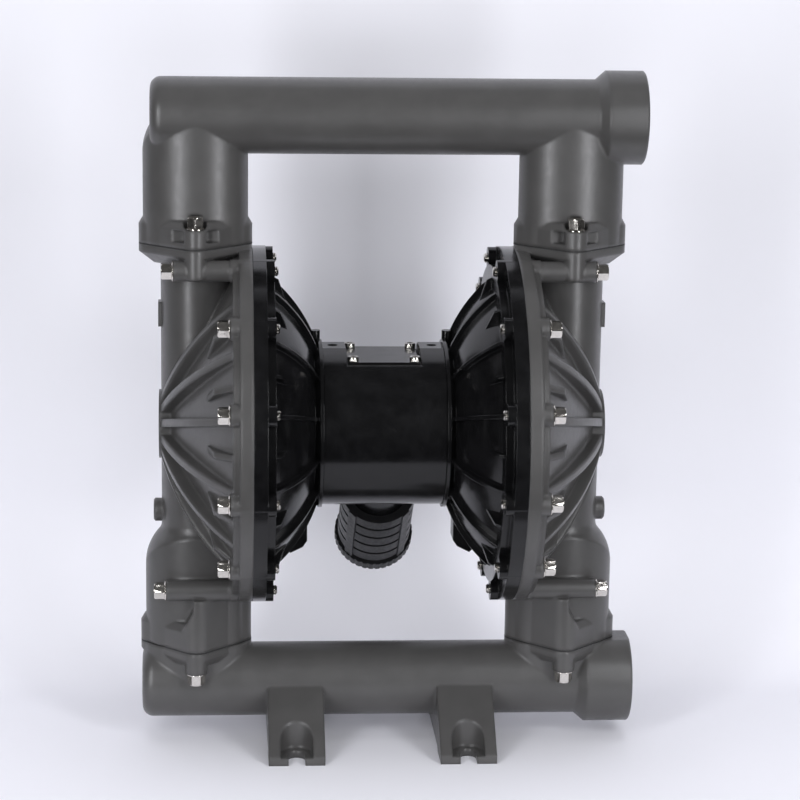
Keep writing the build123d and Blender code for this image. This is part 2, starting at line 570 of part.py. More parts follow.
with BuildPart() as fluid_cap_right:
    with BuildSketch(radial_plane(0)):
        with BuildLine():
            Polyline(
                (JOINT_X, 0), (JOINT_X, CAP_R), (CAP_FACE_X, CAP_R), (CAP_FACE_X, CAP_RING_R),
                (CAP_RING_X, CAP_RING_R), (CAP_RING_X, DOME_ROOT_R),
            )
            ThreePointArc((CAP_RING_X, DOME_ROOT_R), DOME_MID, DOME_TIP)
            Polyline(DOME_TIP, (APEX_X, APEX_R), (APEX_X, 0), (JOINT_X, 0))
        make_face()
    revolve(axis=SHAFT_AXIS)
    add(cap_column)
    # ribs run from the bolt ring to the apex, short gussets stand between them
    for angle in RIB_ANGLES:
        for plane_angle in (angle, 180 - angle):
            with BuildSketch(radial_plane(plane_angle)):
                with BuildLine():
                    Line((CAP_FACE_X, DOME_ROOT_R), (CAP_RING_X, RIB_ROOT_R))
                    ThreePointArc((CAP_RING_X, RIB_ROOT_R), RIB_MID, RIB_TIP)
                    Polyline(
                        RIB_TIP, (APEX_X, RIB_FOOT_R), (CAVITY_TIP[0], RIB_FOOT_R),
                        (CAP_FACE_X, DOME_ROOT_R),
                    )
                make_face()
    extrude(amount=RIB_T / 2, both=True)
    for angle in GUSSET_ANGLES:
        for plane_angle in (angle, 180 - angle):
            with BuildSketch(radial_plane(plane_angle)):
                with BuildLine():
                    Polyline(
                        (CAP_FACE_X, DOME_ROOT_R), (CAP_RING_X, RIB_ROOT_R), GUSSET_CREST, GUSSET_TIP,
                        (CAVITY_MID[0] - GUSSET_T, GUSSET_TIP[1]), (CAP_FACE_X, DOME_ROOT_R),
                    )
                make_face()
    extrude(amount=GUSSET_T / 2, both=True)
    # manifold flanges
    with BuildSketch(Plane.XY.offset(CAP_TOP_Z)):
        flange_outline(COLUMN_X)
    extrude(amount=-CAP_TOP_FLANGE_T)
    with BuildSketch(Plane.XY.offset(CAP_TOP_Z - CAP_TOP_FLANGE_T)):
        flange_outline(COLUMN_X)
    extrude(amount=-14, taper=52)
    with BuildSketch(Plane.XY.offset(CAP_TOP_Z)):
        with Locations(*flange_bolt_places(COLUMN_X)):
            Circle(FLANGE_BOSS_R)
    extrude(amount=-CAP_TOP_BOSS_H)
    with BuildSketch(Plane.XY.offset(CAP_BOTTOM_Z)):
        flange_outline(COLUMN_X)
    extrude(amount=CAP_BOTTOM_FLANGE_T)
    with BuildSketch(Plane.XY.offset(CAP_BOTTOM_Z + CAP_BOTTOM_FLANGE_T)):
        flange_outline(COLUMN_X)
    extrude(amount=BAND_TAPER_H, taper=BAND_TAPER)
    add(cap_web.part)
    # bosses of the cap bolts
    with BuildSketch(side_plane(JOINT_X)):
        with PolarLocations(BOLT_CIRCLE_R, BOLT_COUNT, start_angle=BOLT_START):
            Circle(BOSS_R)
    extrude(amount=BOSS_X - JOINT_X)
    with BuildSketch(side_plane(JOINT_X)):
        with Locations(*[place for place in long_bolt_places if place[1] > 0]):
            Circle(LONG_BOSS_R)
    extrude(amount=LONG_BOSS_TOP_X - JOINT_X)
    with BuildSketch(side_plane(JOINT_X)):
        with Locations(*[place for place in long_bolt_places if place[1] < 0]):
            Circle(LONG_BOSS_R)
    extrude(amount=LONG_BOSS_BOTTOM_X - JOINT_X)
    # cast boss and pad on the outer side
    with BuildSketch(side_plane(COLUMN_X, SIDE_BOSS_Z)):
        Circle(SIDE_BOSS_R)
    extrude(amount=COLUMN_R + SIDE_BOSS_H - SIDE_BOSS_CHAMFER)
    with BuildSketch(side_plane(COLUMN_X + COLUMN_R + SIDE_BOSS_H - SIDE_BOSS_CHAMFER, SIDE_BOSS_Z)):
        Circle(SIDE_BOSS_R)
    extrude(amount=SIDE_BOSS_CHAMFER, taper=45)
    with BuildSketch(side_plane(COLUMN_X, PAD_Z)):
        Rectangle(PAD_W, PAD_H)
    extrude(amount=COLUMN_R + PAD_T)
    # flat mating face: nothing stands past the joint
    with BuildSketch(side_plane(JOINT_X)):
        Circle(2 * CAP_R)
    extrude(amount=-CAP_R, mode=Mode.SUBTRACT)
    # liquid chamber, ducts and seats
    with BuildSketch(radial_plane(0)):
        with BuildLine():
            Polyline((JOINT_X, 0), (JOINT_X, CAVITY_R), (JOINT_X + BEAD_DEPTH, CAVITY_R))
            ThreePointArc((JOINT_X + BEAD_DEPTH, CAVITY_R), CAVITY_MID, CAVITY_TIP)
            Polyline(CAVITY_TIP, (CAVITY_TIP[0], 0), (JOINT_X, 0))
        make_face()
    revolve(axis=SHAFT_AXIS, mode=Mode.SUBTRACT)
    with BuildSketch(side_plane(JOINT_X)):
        Circle(BEAD_OUT_R)
        Circle(BEAD_IN_R, mode=Mode.SUBTRACT)
    extrude(amount=BEAD_DEPTH, mode=Mode.SUBTRACT)
    with BuildSketch(side_plane(JOINT_X)):
        Circle(BEAD_IN_R)
    extrude(amount=SHEET_HALF, mode=Mode.SUBTRACT)
    with BuildSketch(Plane.XY.offset(BULGE_DOME_Z)):
        with Locations((COLUMN_X, 0)):
            Circle(DUCT_R)
    extrude(amount=CAP_TOP_Z - BULGE_DOME_Z, mode=Mode.SUBTRACT)
    with BuildSketch(Plane.XY.offset(CAP_TOP_Z)):
        with Locations((COLUMN_X, 0)):
            Circle(SEAT_R + LOOSE)
    extrude(amount=-SEAT_DEPTH, mode=Mode.SUBTRACT)
    add(cap_chamber, mode=Mode.SUBTRACT)
    guide_w = BULGE_A - BALL_R - BALL_GAP - CHAMBER_WALL / 2
    with BuildSketch(Plane.XY.offset(CAP_BOTTOM_Z)):
        for side in (-1, 1):
            with Locations((COLUMN_X + side * (BALL_R + BALL_GAP + guide_w / 2), 0)):
                Rectangle(guide_w, GUIDE_T)
    extrude(amount=STOP_H + STOP_BAR_H)
    with BuildSketch(Plane.XY.offset(CAP_BOTTOM_Z + STOP_H)):
        with Locations((COLUMN_X, 0)):
            Rectangle(STOP_BAR_W, 2 * CHAMBER_B + GUIDE_T)
    extrude(amount=STOP_BAR_H)
    # bolt holes
    with BuildSketch(side_plane(JOINT_X)):
        with PolarLocations(BOLT_CIRCLE_R, BOLT_COUNT, start_angle=BOLT_START):
            Circle(BOLT_HOLE_R)
    extrude(amount=LONG_BOSS_BOTTOM_X - JOINT_X, mode=Mode.SUBTRACT)
    with BuildSketch(Plane.XY.offset(CAP_TOP_Z)):
        with Locations(*flange_bolt_places(COLUMN_X)):
            Circle(BOLT_HOLE_R)
    extrude(amount=-CAP_TOP_THREAD_L, mode=Mode.SUBTRACT)
    with BuildSketch(Plane.XY.offset(CAP_BOTTOM_Z)):
        with Locations(*flange_bolt_places(COLUMN_X)):
            Circle(BOLT_HOLE_R)
    extrude(amount=CAP_BOTTOM_THREAD_L, mode=Mode.SUBTRACT)
finish(fluid_cap_right, "fluid_cap_right")

with BuildPart() as fluid_cap_left:
    mirror(fluid_cap_right.part, about=Plane.YZ)
finish(fluid_cap_left, "fluid_cap_left")

# ------------------------------------------------------------------ air caps
with BuildPart() as air_cap_right:
    with BuildSketch(radial_plane(0)):
        with BuildLine():
            Polyline((HUB_X, 0), (HUB_X, HUB_R), (HUB_X + LIP_T, HUB_R), AIR_ROOT)
            ThreePointArc(AIR_ROOT, AIR_MID, (LUG_X, AIR_RIM_R))
            Polyline(
                (LUG_X, AIR_RIM_R), (LUG_X, LUG_RING_R), (AIR_BAND_X, LUG_RING_R), (AIR_BAND_X, CAP_R),
                (JOINT_X, CAP_R), (JOINT_X, 0), (HUB_X, 0),
            )
        make_face()
    revolve(axis=SHAFT_AXIS)
    for i in range(AIR_RIBS):
        with BuildSketch(radial_plane(BOLT_START + i * 360 / AIR_RIBS)):
            with BuildLine():
                Line((AIR_ROOT[0] + 2, AIR_ROOT[1]), AIR_CREST_ROOT)
                ThreePointArc(AIR_CREST_ROOT, AIR_CREST_MID, (LUG_X - 5, AIR_CREST_RIM_R - 4.5))
                Polyline(
                    (LUG_X - 5, AIR_CREST_RIM_R - 4.5), (LUG_X + 2, AIR_CREST_RIM_R),
                    (LUG_X + 2, AIR_RIM_R), (AIR_MID[0] + 3, AIR_MID[1]), (AIR_ROOT[0] + 2, AIR_ROOT[1]),
                )
            make_face()
    extrude(amount=AIR_RIB_T / 2, both=True)
    for i in range(AIR_RIBS):
        with BuildSketch(radial_plane(i * 360 / AIR_RIBS)):
            with BuildLine():
                Polyline(
                    AIR_GUSSET_FOOT, (LUG_X - 6, AIR_CREST_RIM_R + 1), (LUG_X + 2, AIR_CREST_RIM_R + 5),
                    (LUG_X + 2, AIR_RIM_R), (AIR_GUSSET_FOOT[0] + 2, AIR_GUSSET_FOOT[1]), AIR_GUSSET_FOOT,
                )
            make_face()
    extrude(amount=AIR_GUSSET_T / 2, both=True)
    with BuildSketch(side_plane(LUG_X)):
        with PolarLocations(BOLT_CIRCLE_R, BOLT_COUNT, start_angle=BOLT_START):
            Circle(BOSS_R)
    extrude(amount=JOINT_X - LUG_X)
    with BuildSketch(Plane(origin=(0, DRAIN_Y[0], 0), x_dir=(1, 0, 0), z_dir=(0, -1, 0))):
        with BuildLine():
            Polyline(
                (DRAIN_X[0] + DRAIN_CORNER, DRAIN_Z[0] + DRAIN_CORNER / 2),
                (DRAIN_X[1], DRAIN_Z[0] - DRAIN_DROP),
                (DRAIN_X[1] + 2 * DRAIN_CORNER, DRAIN_Z[0] + DRAIN_CORNER),
                (DRAIN_X[1] + 2 * DRAIN_CORNER, DRAIN_Z[1]),
                (DRAIN_X[0], DRAIN_Z[1]),
                (DRAIN_X[0], DRAIN_Z[0] + 2 * DRAIN_CORNER),
                (DRAIN_X[0] + DRAIN_CORNER, DRAIN_Z[0] + DRAIN_CORNER / 2),
            )
        make_face()
    extrude(amount=DRAIN_Y[0] - DRAIN_Y[1])
    with BuildSketch(Plane.XY.offset(AXIS_Z + CENTRE_SCREW_CIRCLE_R)):
        with Locations((HUB_PIN_X, HUB_PIN_Y)):
            Circle(HUB_PIN_R)
    extrude(amount=HUB_PIN_Z - AXIS_Z - CENTRE_SCREW_CIRCLE_R)
    # air chamber and diaphragm groove
    with BuildSketch(radial_plane(0)):
        with BuildLine():
            Polyline(
                (HUB_INNER_X, 0), (HUB_INNER_X, AIR_CAVITY_R), (HUB_INNER_X + 2, AIR_CAVITY_R),
            )
            ThreePointArc(
                (HUB_INNER_X + 2, AIR_CAVITY_R), AIR_CAVITY_MID, (JOINT_X - BEAD_DEPTH, CAVITY_R),
            )
            Polyline((JOINT_X - BEAD_DEPTH, CAVITY_R), (JOINT_X, CAVITY_R), (JOINT_X, 0), (HUB_INNER_X, 0))
        make_face()
    revolve(axis=SHAFT_AXIS, mode=Mode.SUBTRACT)
    with BuildSketch(side_plane(JOINT_X)):
        Circle(BEAD_OUT_R)
        Circle(BEAD_IN_R, mode=Mode.SUBTRACT)
    extrude(amount=-BEAD_DEPTH, mode=Mode.SUBTRACT)
    with BuildSketch(side_plane(JOINT_X)):
        Circle(BEAD_IN_R)
    extrude(amount=-SHEET_HALF, mode=Mode.SUBTRACT)
    # rod bush, trip rod and screw holes
    with BuildSketch(side_plane(HUB_X)):
        Circle(BUSH_R + RUNNING)
        with Locations((0, TRIP_OFFSET)):
            Circle(TRIP_R + RUNNING)
        with PolarLocations(CENTRE_SCREW_CIRCLE_R, CENTRE_SCREWS):
            Circle(SMALL_R + LOOSE)
    extrude(amount=HUB_T, mode=Mode.SUBTRACT)
    with BuildSketch(side_plane(JOINT_X)):
        with PolarLocations(BOLT_CIRCLE_R, BOLT_COUNT, start_angle=BOLT_START):
            Circle(BOLT_HOLE_R)
    extrude(amount=LUG_X - JOINT_X, mode=Mode.SUBTRACT)
finish(air_cap_right, "air_cap_right")

with BuildPart() as air_cap_left:
    mirror(air_cap_right.part, about=Plane.YZ)
finish(air_cap_left, "air_cap_left")

# ------------------------------------------------------------------ centre body of the air motor
exhaust_dir = (0, cos(radians(EXHAUST_TILT)), -sin(radians(EXHAUST_TILT)))
exhaust_plane = Plane(origin=(EXHAUST_X, EXHAUST_Y, EXHAUST_Z), x_dir=(1, 0, 0), z_dir=exhaust_dir)
valve_face_plane = Plane(origin=(0, VALVE_PAD_Y, AIR_PORT_Z), x_dir=(1, 0, 0), z_dir=(0, -1, 0))
cover_screw_places = [(x, y) for x in (-COVER_SCREW_X, COVER_SCREW_X)
                      for y in (-COVER_SCREW_Y, COVER_SCREW_Y)]
valve_screw_places = [(x, z) for x in (-VALVE_SCREW_X, VALVE_SCREW_X)
                      for z in (-VALVE_SCREW_Z, VALVE_SCREW_Z)]
valve_cap_screw_places = [(y, z) for y in (-VALVE_CAP_SCREW_Y, VALVE_CAP_SCREW_Y)
                          for z in (-VALVE_CAP_SCREW_Z, VALVE_CAP_SCREW_Z)]

with BuildPart() as centre_body:
    with BuildSketch(side_plane(0)):
        Circle(BODY_R)
        with Locations((0, TOP_FLAT_H + BODY_R)):
            Rectangle(4 * BODY_R, 2 * BODY_R, mode=Mode.SUBTRACT)
        with Locations((VALVE_PAD_Y + BODY_R, 0)):
            Rectangle(2 * BODY_R, 4 * BODY_R, mode=Mode.SUBTRACT)
    extrude(amount=HUB_X, both=True)
    with BuildSketch(Plane(origin=(0, VALVE_PAD_Y, 0), x_dir=(1, 0, 0), z_dir=(0, -1, 0))):
        with Locations((0, (VALVE_Z_LOW + VALVE_Z_HIGH) / 2)):
            Rectangle(VALVE_PAD_W, VALVE_Z_HIGH - VALVE_Z_LOW)
    extrude(amount=VALVE_PAD_Y - COVER_SCREW_Y)
    with BuildSketch(exhaust_plane):
        Circle(EXHAUST_BOSS_R)
    extrude(amount=-EXHAUST_BOSS_L)
    with BuildSketch(Plane.XY.offset(AXIS_Z + RECESS_H)):
        Rectangle(2 * RECESS_HALF_W, 2 * BODY_R)
    extrude(amount=BODY_R, mode=Mode.SUBTRACT)
    with BuildSketch(Plane.XY.offset(AXIS_Z + TOP_FLAT_H)):
        with Locations((-TOP_HOLE_X, 0), (TOP_HOLE_X, 0)):
            Circle(TOP_HOLE_R)
    extrude(amount=-TOP_HOLE_DEPTH, mode=Mode.SUBTRACT)
    with BuildSketch(Plane.XY.offset(AXIS_Z + RECESS_H)):
        with Locations(*cover_screw_places):
            Circle(SMALL_R + RUNNING)
    extrude(amount=-SMALL_GRIP, mode=Mode.SUBTRACT)
    with BuildSketch(valve_face_plane):
        with Locations(*valve_screw_places):
            Circle(SMALL_R + RUNNING)
    extrude(amount=SMALL_GRIP, mode=Mode.SUBTRACT)
    with BuildSketch(exhaust_plane):
        Circle(NECK_R + RUNNING)
    extrude(amount=-NECK_DEPTH - LOOSE, mode=Mode.SUBTRACT)
    with BuildSketch(side_plane(-HUB_X)):
        Circle(ROD_PASSAGE_R)
        with Locations((0, TRIP_OFFSET)):
            Circle(TRIP_R + RUNNING)
    extrude(amount=2 * HUB_X, mode=Mode.SUBTRACT)
    for end in (-1, 1):
        with BuildSketch(side_plane(end * HUB_X)):
            with PolarLocations(CENTRE_SCREW_CIRCLE_R, CENTRE_SCREWS):
                Circle(SMALL_R + RUNNING)
        extrude(amount=-end * (SMALL_GRIP + LOOSE), mode=Mode.SUBTRACT)
finish(centre_body, "centre_body")

cover_floor_z = AXIS_Z + RECESS_H
with BuildPart() as top_cover_gasket:
    with BuildSketch(Plane.XY.offset(cover_floor_z)):
        Rectangle(2 * COVER_HALF_W, 2 * COVER_HALF_D)
        with Locations(*cover_screw_places):
            Circle(SMALL_R + LOOSE, mode=Mode.SUBTRACT)
    extrude(amount=COVER_GASKET_T)
finish(top_cover_gasket, "top_cover_gasket")

with BuildPart() as top_cover:
    with BuildSketch(Plane.XY.offset(cover_floor_z + COVER_GASKET_T)):
        Rectangle(2 * COVER_HALF_W, 2 * COVER_HALF_D)
        with Locations(*cover_screw_places):
            Circle(SMALL_R + LOOSE, mode=Mode.SUBTRACT)
    extrude(amount=COVER_T)
finish(top_cover, "top_cover")

cover_screw = small_screw(SMALL_GRIP)
with BuildPart() as top_cover_screws:
    with Locations(*[(x, y, cover_floor_z + COVER_GASKET_T + COVER_T) for x, y in cover_screw_places]):
        add(cover_screw)
finish(top_cover_screws, "top_cover_screws")

# ------------------------------------------------------------------ air valve
valve_h = VALVE_Z_HIGH - VALVE_Z_LOW
with BuildPart() as valve_gasket:
    with BuildSketch(valve_face_plane):
        RectangleRounded(VALVE_W, valve_h, VALVE_CORNER_R)
        with Locations(*valve_screw_places):
            Circle(SMALL_R + LOOSE, mode=Mode.SUBTRACT)
    extrude(amount=-VALVE_GASKET_T)
finish(valve_gasket, "valve_gasket")

with BuildPart() as valve_body:
    with BuildSketch(side_plane(-VALVE_W / 2, AIR_PORT_Z)):
        with Locations((VALVE_MID_Y, 0)):
            RectangleRounded(VALVE_D, valve_h, VALVE_CORNER_R)
        with Locations((SPOOL_Y, 0)):
            Circle(SPOOL_R + RUNNING, mode=Mode.SUBTRACT)
    extrude(amount=VALVE_W)
    with BuildSketch(valve_face_plane.offset(-VALVE_GASKET_T - VALVE_D)):
        Circle(AIR_PORT_R)
    extrude(amount=AIR_PORT_L, mode=Mode.SUBTRACT)
    with BuildSketch(valve_face_plane.offset(-VALVE_GASKET_T - VALVE_D)):
        Circle(AIR_PASSAGE_R)
    extrude(amount=VALVE_BACK_Y - SPOOL_Y, mode=Mode.SUBTRACT)
    with BuildSketch(valve_face_plane.offset(-VALVE_GASKET_T)):
        with Locations(*valve_screw_places):
            Circle(SMALL_R + LOOSE)
    extrude(amount=-VALVE_D, mode=Mode.SUBTRACT)
    for end in (-1, 1):
        with BuildSketch(side_plane(end * VALVE_W / 2, AIR_PORT_Z)):
            with Locations((VALVE_MID_Y, 0)):
                with Locations(*valve_cap_screw_places):
                    Circle(SMALL_R + RUNNING)
        extrude(amount=-end * SMALL_GRIP, mode=Mode.SUBTRACT)
finish(valve_body, "valve_body")

with BuildPart() as valve_end_cap_right:
    with BuildSketch(side_plane(VALVE_W / 2, AIR_PORT_Z)):
        with Locations((VALVE_MID_Y, 0)):
            RectangleRounded(VALVE_D, valve_h, VALVE_CORNER_R)
            with Locations(*valve_cap_screw_places):
                Circle(SMALL_R + LOOSE, mode=Mode.SUBTRACT)
    extrude(amount=VALVE_CAP_T)
    with BuildSketch(side_plane(VALVE_W / 2 + VALVE_CAP_T, AIR_PORT_Z)):
        with Locations((VALVE_MID_Y, 0)):
            with Locations(*valve_cap_screw_places):
                Circle(SMALL_HEAD_R + LOOSE)
    extrude(amount=-SMALL_HEAD_H, mode=Mode.SUBTRACT)
finish(valve_end_cap_right, "valve_end_cap_right")

with BuildPart() as valve_end_cap_left:
    mirror(valve_end_cap_right.part, about=Plane.YZ)
finish(valve_end_cap_left, "valve_end_cap_left")

valve_screw = small_screw(VALVE_D + VALVE_GASKET_T + SMALL_GRIP - LOOSE)
with BuildPart() as valve_body_screws:
    for x, z in valve_screw_places:
        with Locations(Plane(origin=(x, VALVE_BACK_Y, AIR_PORT_Z + z), x_dir=(1, 0, 0), z_dir=(0, 1, 0))):
            add(valve_screw)
finish(valve_body_screws, "valve_body_screws")

valve_cap_screw = small_screw(SMALL_GRIP)
seat_x = VALVE_W / 2 + VALVE_CAP_T - SMALL_HEAD_H
with BuildPart() as valve_cap_screws:
    for end in (-1, 1):
        for y, z in valve_cap_screw_places:
            place = (end * seat_x, VALVE_MID_Y + y, AIR_PORT_Z + z)
            with Locations(Plane(origin=place, x_dir=(0, 1, 0), z_dir=(end, 0, 0))):
                add(valve_cap_screw)
finish(valve_cap_screws, "valve_cap_screws")

spool_lands = (SPOOL_LAND_L - SPOOL_L) / 2
with BuildPart() as main_spool:
    with BuildSketch(side_plane(-SPOOL_L / 2, AIR_PORT_Z)):
        with Locations((SPOOL_Y, 0)):
            Circle(SPOOL_WAIST_R)
    extrude(amount=SPOOL_L)
    for x in (spool_lands, 0, -spool_lands):
        with BuildSketch(side_plane(x, AIR_PORT_Z)):
            with Locations((SPOOL_Y, 0)):
                Circle(SPOOL_R)
        extrude(amount=SPOOL_LAND_L / 2, both=True)
finish(main_spool, "main_spool")

with BuildPart() as trip_rod:
    with BuildSketch(side_plane(-TRIP_END_X)):
        with Locations((0, TRIP_OFFSET)):
            Circle(TRIP_R)
    extrude(amount=2 * TRIP_END_X)
    chamfer(trip_rod.edges().filter_by(GeomType.CIRCLE), 1)
finish(trip_rod, "trip_rod")

# ------------------------------------------------------------------ exhaust muffler
ring_pitch = MUFFLER_L / MUFFLER_RINGS
with BuildPart() as muffler_body:
    with BuildSketch(exhaust_plane):
        Circle(MUFFLER_CORE_R)
    extrude(amount=MUFFLER_L)
    for i in range(MUFFLER_RINGS):
        with BuildSketch(exhaust_plane.offset(i * ring_pitch)):
            Circle(MUFFLER_RING_R)
        extrude(amount=ring_pitch - MUFFLER_SLOT)
    with BuildSketch(exhaust_plane):
        Rectangle(2 * MUFFLER_BAR_R, MUFFLER_BAR_W, rotation=45)
        Rectangle(2 * MUFFLER_BAR_R, MUFFLER_BAR_W, rotation=135)
    extrude(amount=MUFFLER_L)
    with BuildSketch(exhaust_plane):
        Circle(NECK_R)
    extrude(amount=-NECK_DEPTH)
finish(muffler_body, "muffler_body")

with BuildPart() as muffler_end_cap:
    with BuildSketch(exhaust_plane.offset(MUFFLER_L)):
        Circle(RIM_R)
        with PolarLocations(RIM_R + SCALLOP_R / 2, SCALLOPS):
            Circle(SCALLOP_R, mode=Mode.SUBTRACT)
    extrude(amount=RIM_L)
    with BuildSketch(exhaust_plane.offset(MUFFLER_L + RIM_L)):
        Circle(MUFFLER_CORE_R)
    extrude(amount=-LIP_T, mode=Mode.SUBTRACT)
finish(muffler_end_cap, "muffler_end_cap")

# ------------------------------------------------------------------ diaphragms, plates and rod
wave_h = 8.0
with BuildPart() as diaphragm_right:
    with BuildSketch(radial_plane(0)):
        with BuildLine():
            Polyline(
                (JOINT_X + SHEET_HALF, 86), (JOINT_X + SHEET_HALF, STUD_R + LOOSE),
                (JOINT_X - SHEET_HALF, STUD_R + LOOSE), (JOINT_X - SHEET_HALF, 86),
            )
            ThreePointArc(
                (JOINT_X - SHEET_HALF, 86), (JOINT_X - SHEET_HALF + wave_h, 124), (JOINT_X - SHEET_HALF, 162),
            )
            Polyline(
                (JOINT_X - SHEET_HALF, 162), (JOINT_X - SHEET_HALF, BEAD_IN_R + LOOSE),
                (JOINT_X - BEAD_DEPTH, BEAD_IN_R + LOOSE), (JOINT_X - BEAD_DEPTH, BEAD_OUT_R - LOOSE),
                (JOINT_X + BEAD_DEPTH, BEAD_OUT_R - LOOSE), (JOINT_X + BEAD_DEPTH, BEAD_IN_R + LOOSE),
                (JOINT_X + SHEET_HALF, BEAD_IN_R + LOOSE), (JOINT_X + SHEET_HALF, 162),
            )
            ThreePointArc(
                (JOINT_X + SHEET_HALF, 162), (JOINT_X + SHEET_HALF + wave_h, 124), (JOINT_X + SHEET_HALF, 86),
            )
        make_face()
    revolve(axis=SHAFT_AXIS)
finish(diaphragm_right, "diaphragm_right")

with BuildPart() as diaphragm_left:
    mirror(diaphragm_right.part, about=Plane.YZ)
finish(diaphragm_left, "diaphragm_left")

with BuildPart() as inner_plate_right:
    with BuildSketch(side_plane(INNER_PLATE_X)):
        Circle(PLATE_R)
        Circle(ROD_R + RUNNING, mode=Mode.SUBTRACT)
    extrude(amount=INNER_PLATE_T)
    fillet(inner_plate_right.edges().filter_by(GeomType.CIRCLE).group_by(SortBy.RADIUS)[-1], 3)
finish(inner_plate_right, "inner_plate_right")

with BuildPart() as inner_plate_left:
    mirror(inner_plate_right.part, about=Plane.YZ)
finish(inner_plate_left, "inner_plate_left")

with BuildPart() as outer_plate_right:
    with BuildSketch(radial_plane(0)):
        with BuildLine():
            Polyline(
                (OUTER_PLATE_X, 0), (OUTER_PLATE_X, PLATE_R), (OUTER_PLATE_X + LIP_T, PLATE_R),
            )
            dome = TangentArc(
                (OUTER_PLATE_X + OUTER_PLATE_T, BUSH_R), (OUTER_PLATE_X + LIP_T, PLATE_R), tangent=(0, 1),
            )
            Polyline(dome @ 0, (OUTER_PLATE_X + OUTER_PLATE_T, 0), (OUTER_PLATE_X, 0))
        make_face()
    revolve(axis=SHAFT_AXIS)
    with BuildSketch(side_plane(OUTER_PLATE_X)):
        Circle(STUD_R + RUNNING)
    extrude(amount=STUD_L - SHEET_T + LOOSE, mode=Mode.SUBTRACT)
finish(outer_plate_right, "outer_plate_right")

with BuildPart() as outer_plate_left:
    mirror(outer_plate_right.part, about=Plane.YZ)
finish(outer_plate_left, "outer_plate_left")

with BuildPart() as diaphragm_rod:
    with BuildSketch(side_plane(0)):
        Circle(ROD_R)
    extrude(amount=ROD_END_X, both=True)
    with BuildSketch(side_plane(0)):
        Circle(STUD_R)
    extrude(amount=ROD_END_X + STUD_L, both=True)
finish(diaphragm_rod, "diaphragm_rod")

with BuildPart() as rod_bush_right:
    with BuildSketch(side_plane(HUB_X)):
        Circle(BUSH_R)
        Circle(ROD_R + RUNNING, mode=Mode.SUBTRACT)
    extrude(amount=HUB_T)
finish(rod_bush_right, "rod_bush_right")

with BuildPart() as rod_bush_left:
    mirror(rod_bush_right.part, about=Plane.YZ)
finish(rod_bush_left, "rod_bush_left")

# ------------------------------------------------------------------ check balls, seats, gaskets
sides = (("left", -COLUMN_X), ("right", COLUMN_X))
levels = (("outlet", OUTLET_FACE_Z), ("inlet", CAP_BOTTOM_Z))
for side_name, x in sides:
    for level_name, top_z in levels:
        with BuildPart() as seat:
            with BuildSketch(column_plane(x)):
                with BuildLine():
                    Polyline(
                        (SEAT_LAND_R, top_z), (SEAT_R, top_z), (SEAT_R, top_z - SEAT_DEPTH - GASKET_T),
                        (SEAT_BORE_R, top_z - SEAT_DEPTH - GASKET_T),
                    )
                    bore_z = top_z + BALL_SEAT_H - sqrt((BALL_R + LOOSE) ** 2 - SEAT_BORE_R ** 2)
                    mid_r = (SEAT_LAND_R + SEAT_BORE_R) / 2
                    mid_z = top_z + BALL_SEAT_H - sqrt((BALL_R + LOOSE) ** 2 - mid_r ** 2)
                    Line((SEAT_BORE_R, top_z - SEAT_DEPTH - GASKET_T), (SEAT_BORE_R, bore_z))
                    ThreePointArc((SEAT_BORE_R, bore_z), (mid_r, mid_z), (SEAT_LAND_R, top_z))
                make_face()
            revolve(axis=Axis((x, 0, 0), (0, 0, 1)))
        finish(seat, f"{level_name}_seat_{side_name}")

        with BuildPart() as ball:
            with Locations((x, 0, top_z + BALL_SEAT_H)):
                Sphere(BALL_R)
        finish(ball, f"{level_name}_ball_{side_name}")

        with BuildPart() as gasket:
            with BuildSketch(Plane.XY.offset(top_z - GASKET_T)):
                flange_outline(x)
                with Locations((x, 0)):
                    Circle(SEAT_R + LOOSE, mode=Mode.SUBTRACT)
                with Locations(*flange_bolt_places(x)):
                    Circle(BOLT_HOLE_R, mode=Mode.SUBTRACT)
            extrude(amount=GASKET_T)
        finish(gasket, f"{level_name}_gasket_{side_name}")

# ------------------------------------------------------------------ bolts, screws and plugs
top_seat_z = OUTLET_FACE_Z + OUTLET_BAND_H
top_bolt = hex_bolt(top_seat_z - CAP_TOP_Z + CAP_TOP_THREAD_L - LOOSE)
bolt_places = flange_bolt_places(-COLUMN_X) + flange_bolt_places(COLUMN_X)
with BuildPart() as top_manifold_bolts:
    with Locations(*[(x, y, top_seat_z) for x, y in bolt_places]):
        add(top_bolt)
finish(top_manifold_bolts, "top_manifold_bolts")

low_seat_z = INLET_FACE_Z - INLET_BOSS_H
low_bolt = hex_bolt(INLET_BOSS_H + GASKET_T + CAP_BOTTOM_THREAD_L - LOOSE)
with BuildPart() as bottom_manifold_bolts:
    for x, y in bolt_places:
        with Locations(Plane(origin=(x, y, low_seat_z), x_dir=(1, 0, 0), z_dir=(0, 0, -1))):
            add(low_bolt)
finish(bottom_manifold_bolts, "bottom_manifold_bolts")

short_bolt = hex_bolt(BOSS_X - LUG_X + BOLT_END)
long_angles = (75, 105, 255, 285)
with BuildPart() as cap_bolts_short_right:
    for i in range(BOLT_COUNT):
        angle = BOLT_START + i * 360 / BOLT_COUNT
        if angle not in long_angles:
            a = radians(angle)
            place = (BOSS_X, BOLT_CIRCLE_R * cos(a), AXIS_Z + BOLT_CIRCLE_R * sin(a))
            with Locations(Plane(origin=place, x_dir=(0, 1, 0), z_dir=(1, 0, 0))):
                add(short_bolt)
finish(cap_bolts_short_right, "cap_bolts_short_right")

with BuildPart() as cap_bolts_short_left:
    mirror(cap_bolts_short_right.part, about=Plane.YZ)
finish(cap_bolts_short_left, "cap_bolts_short_left")

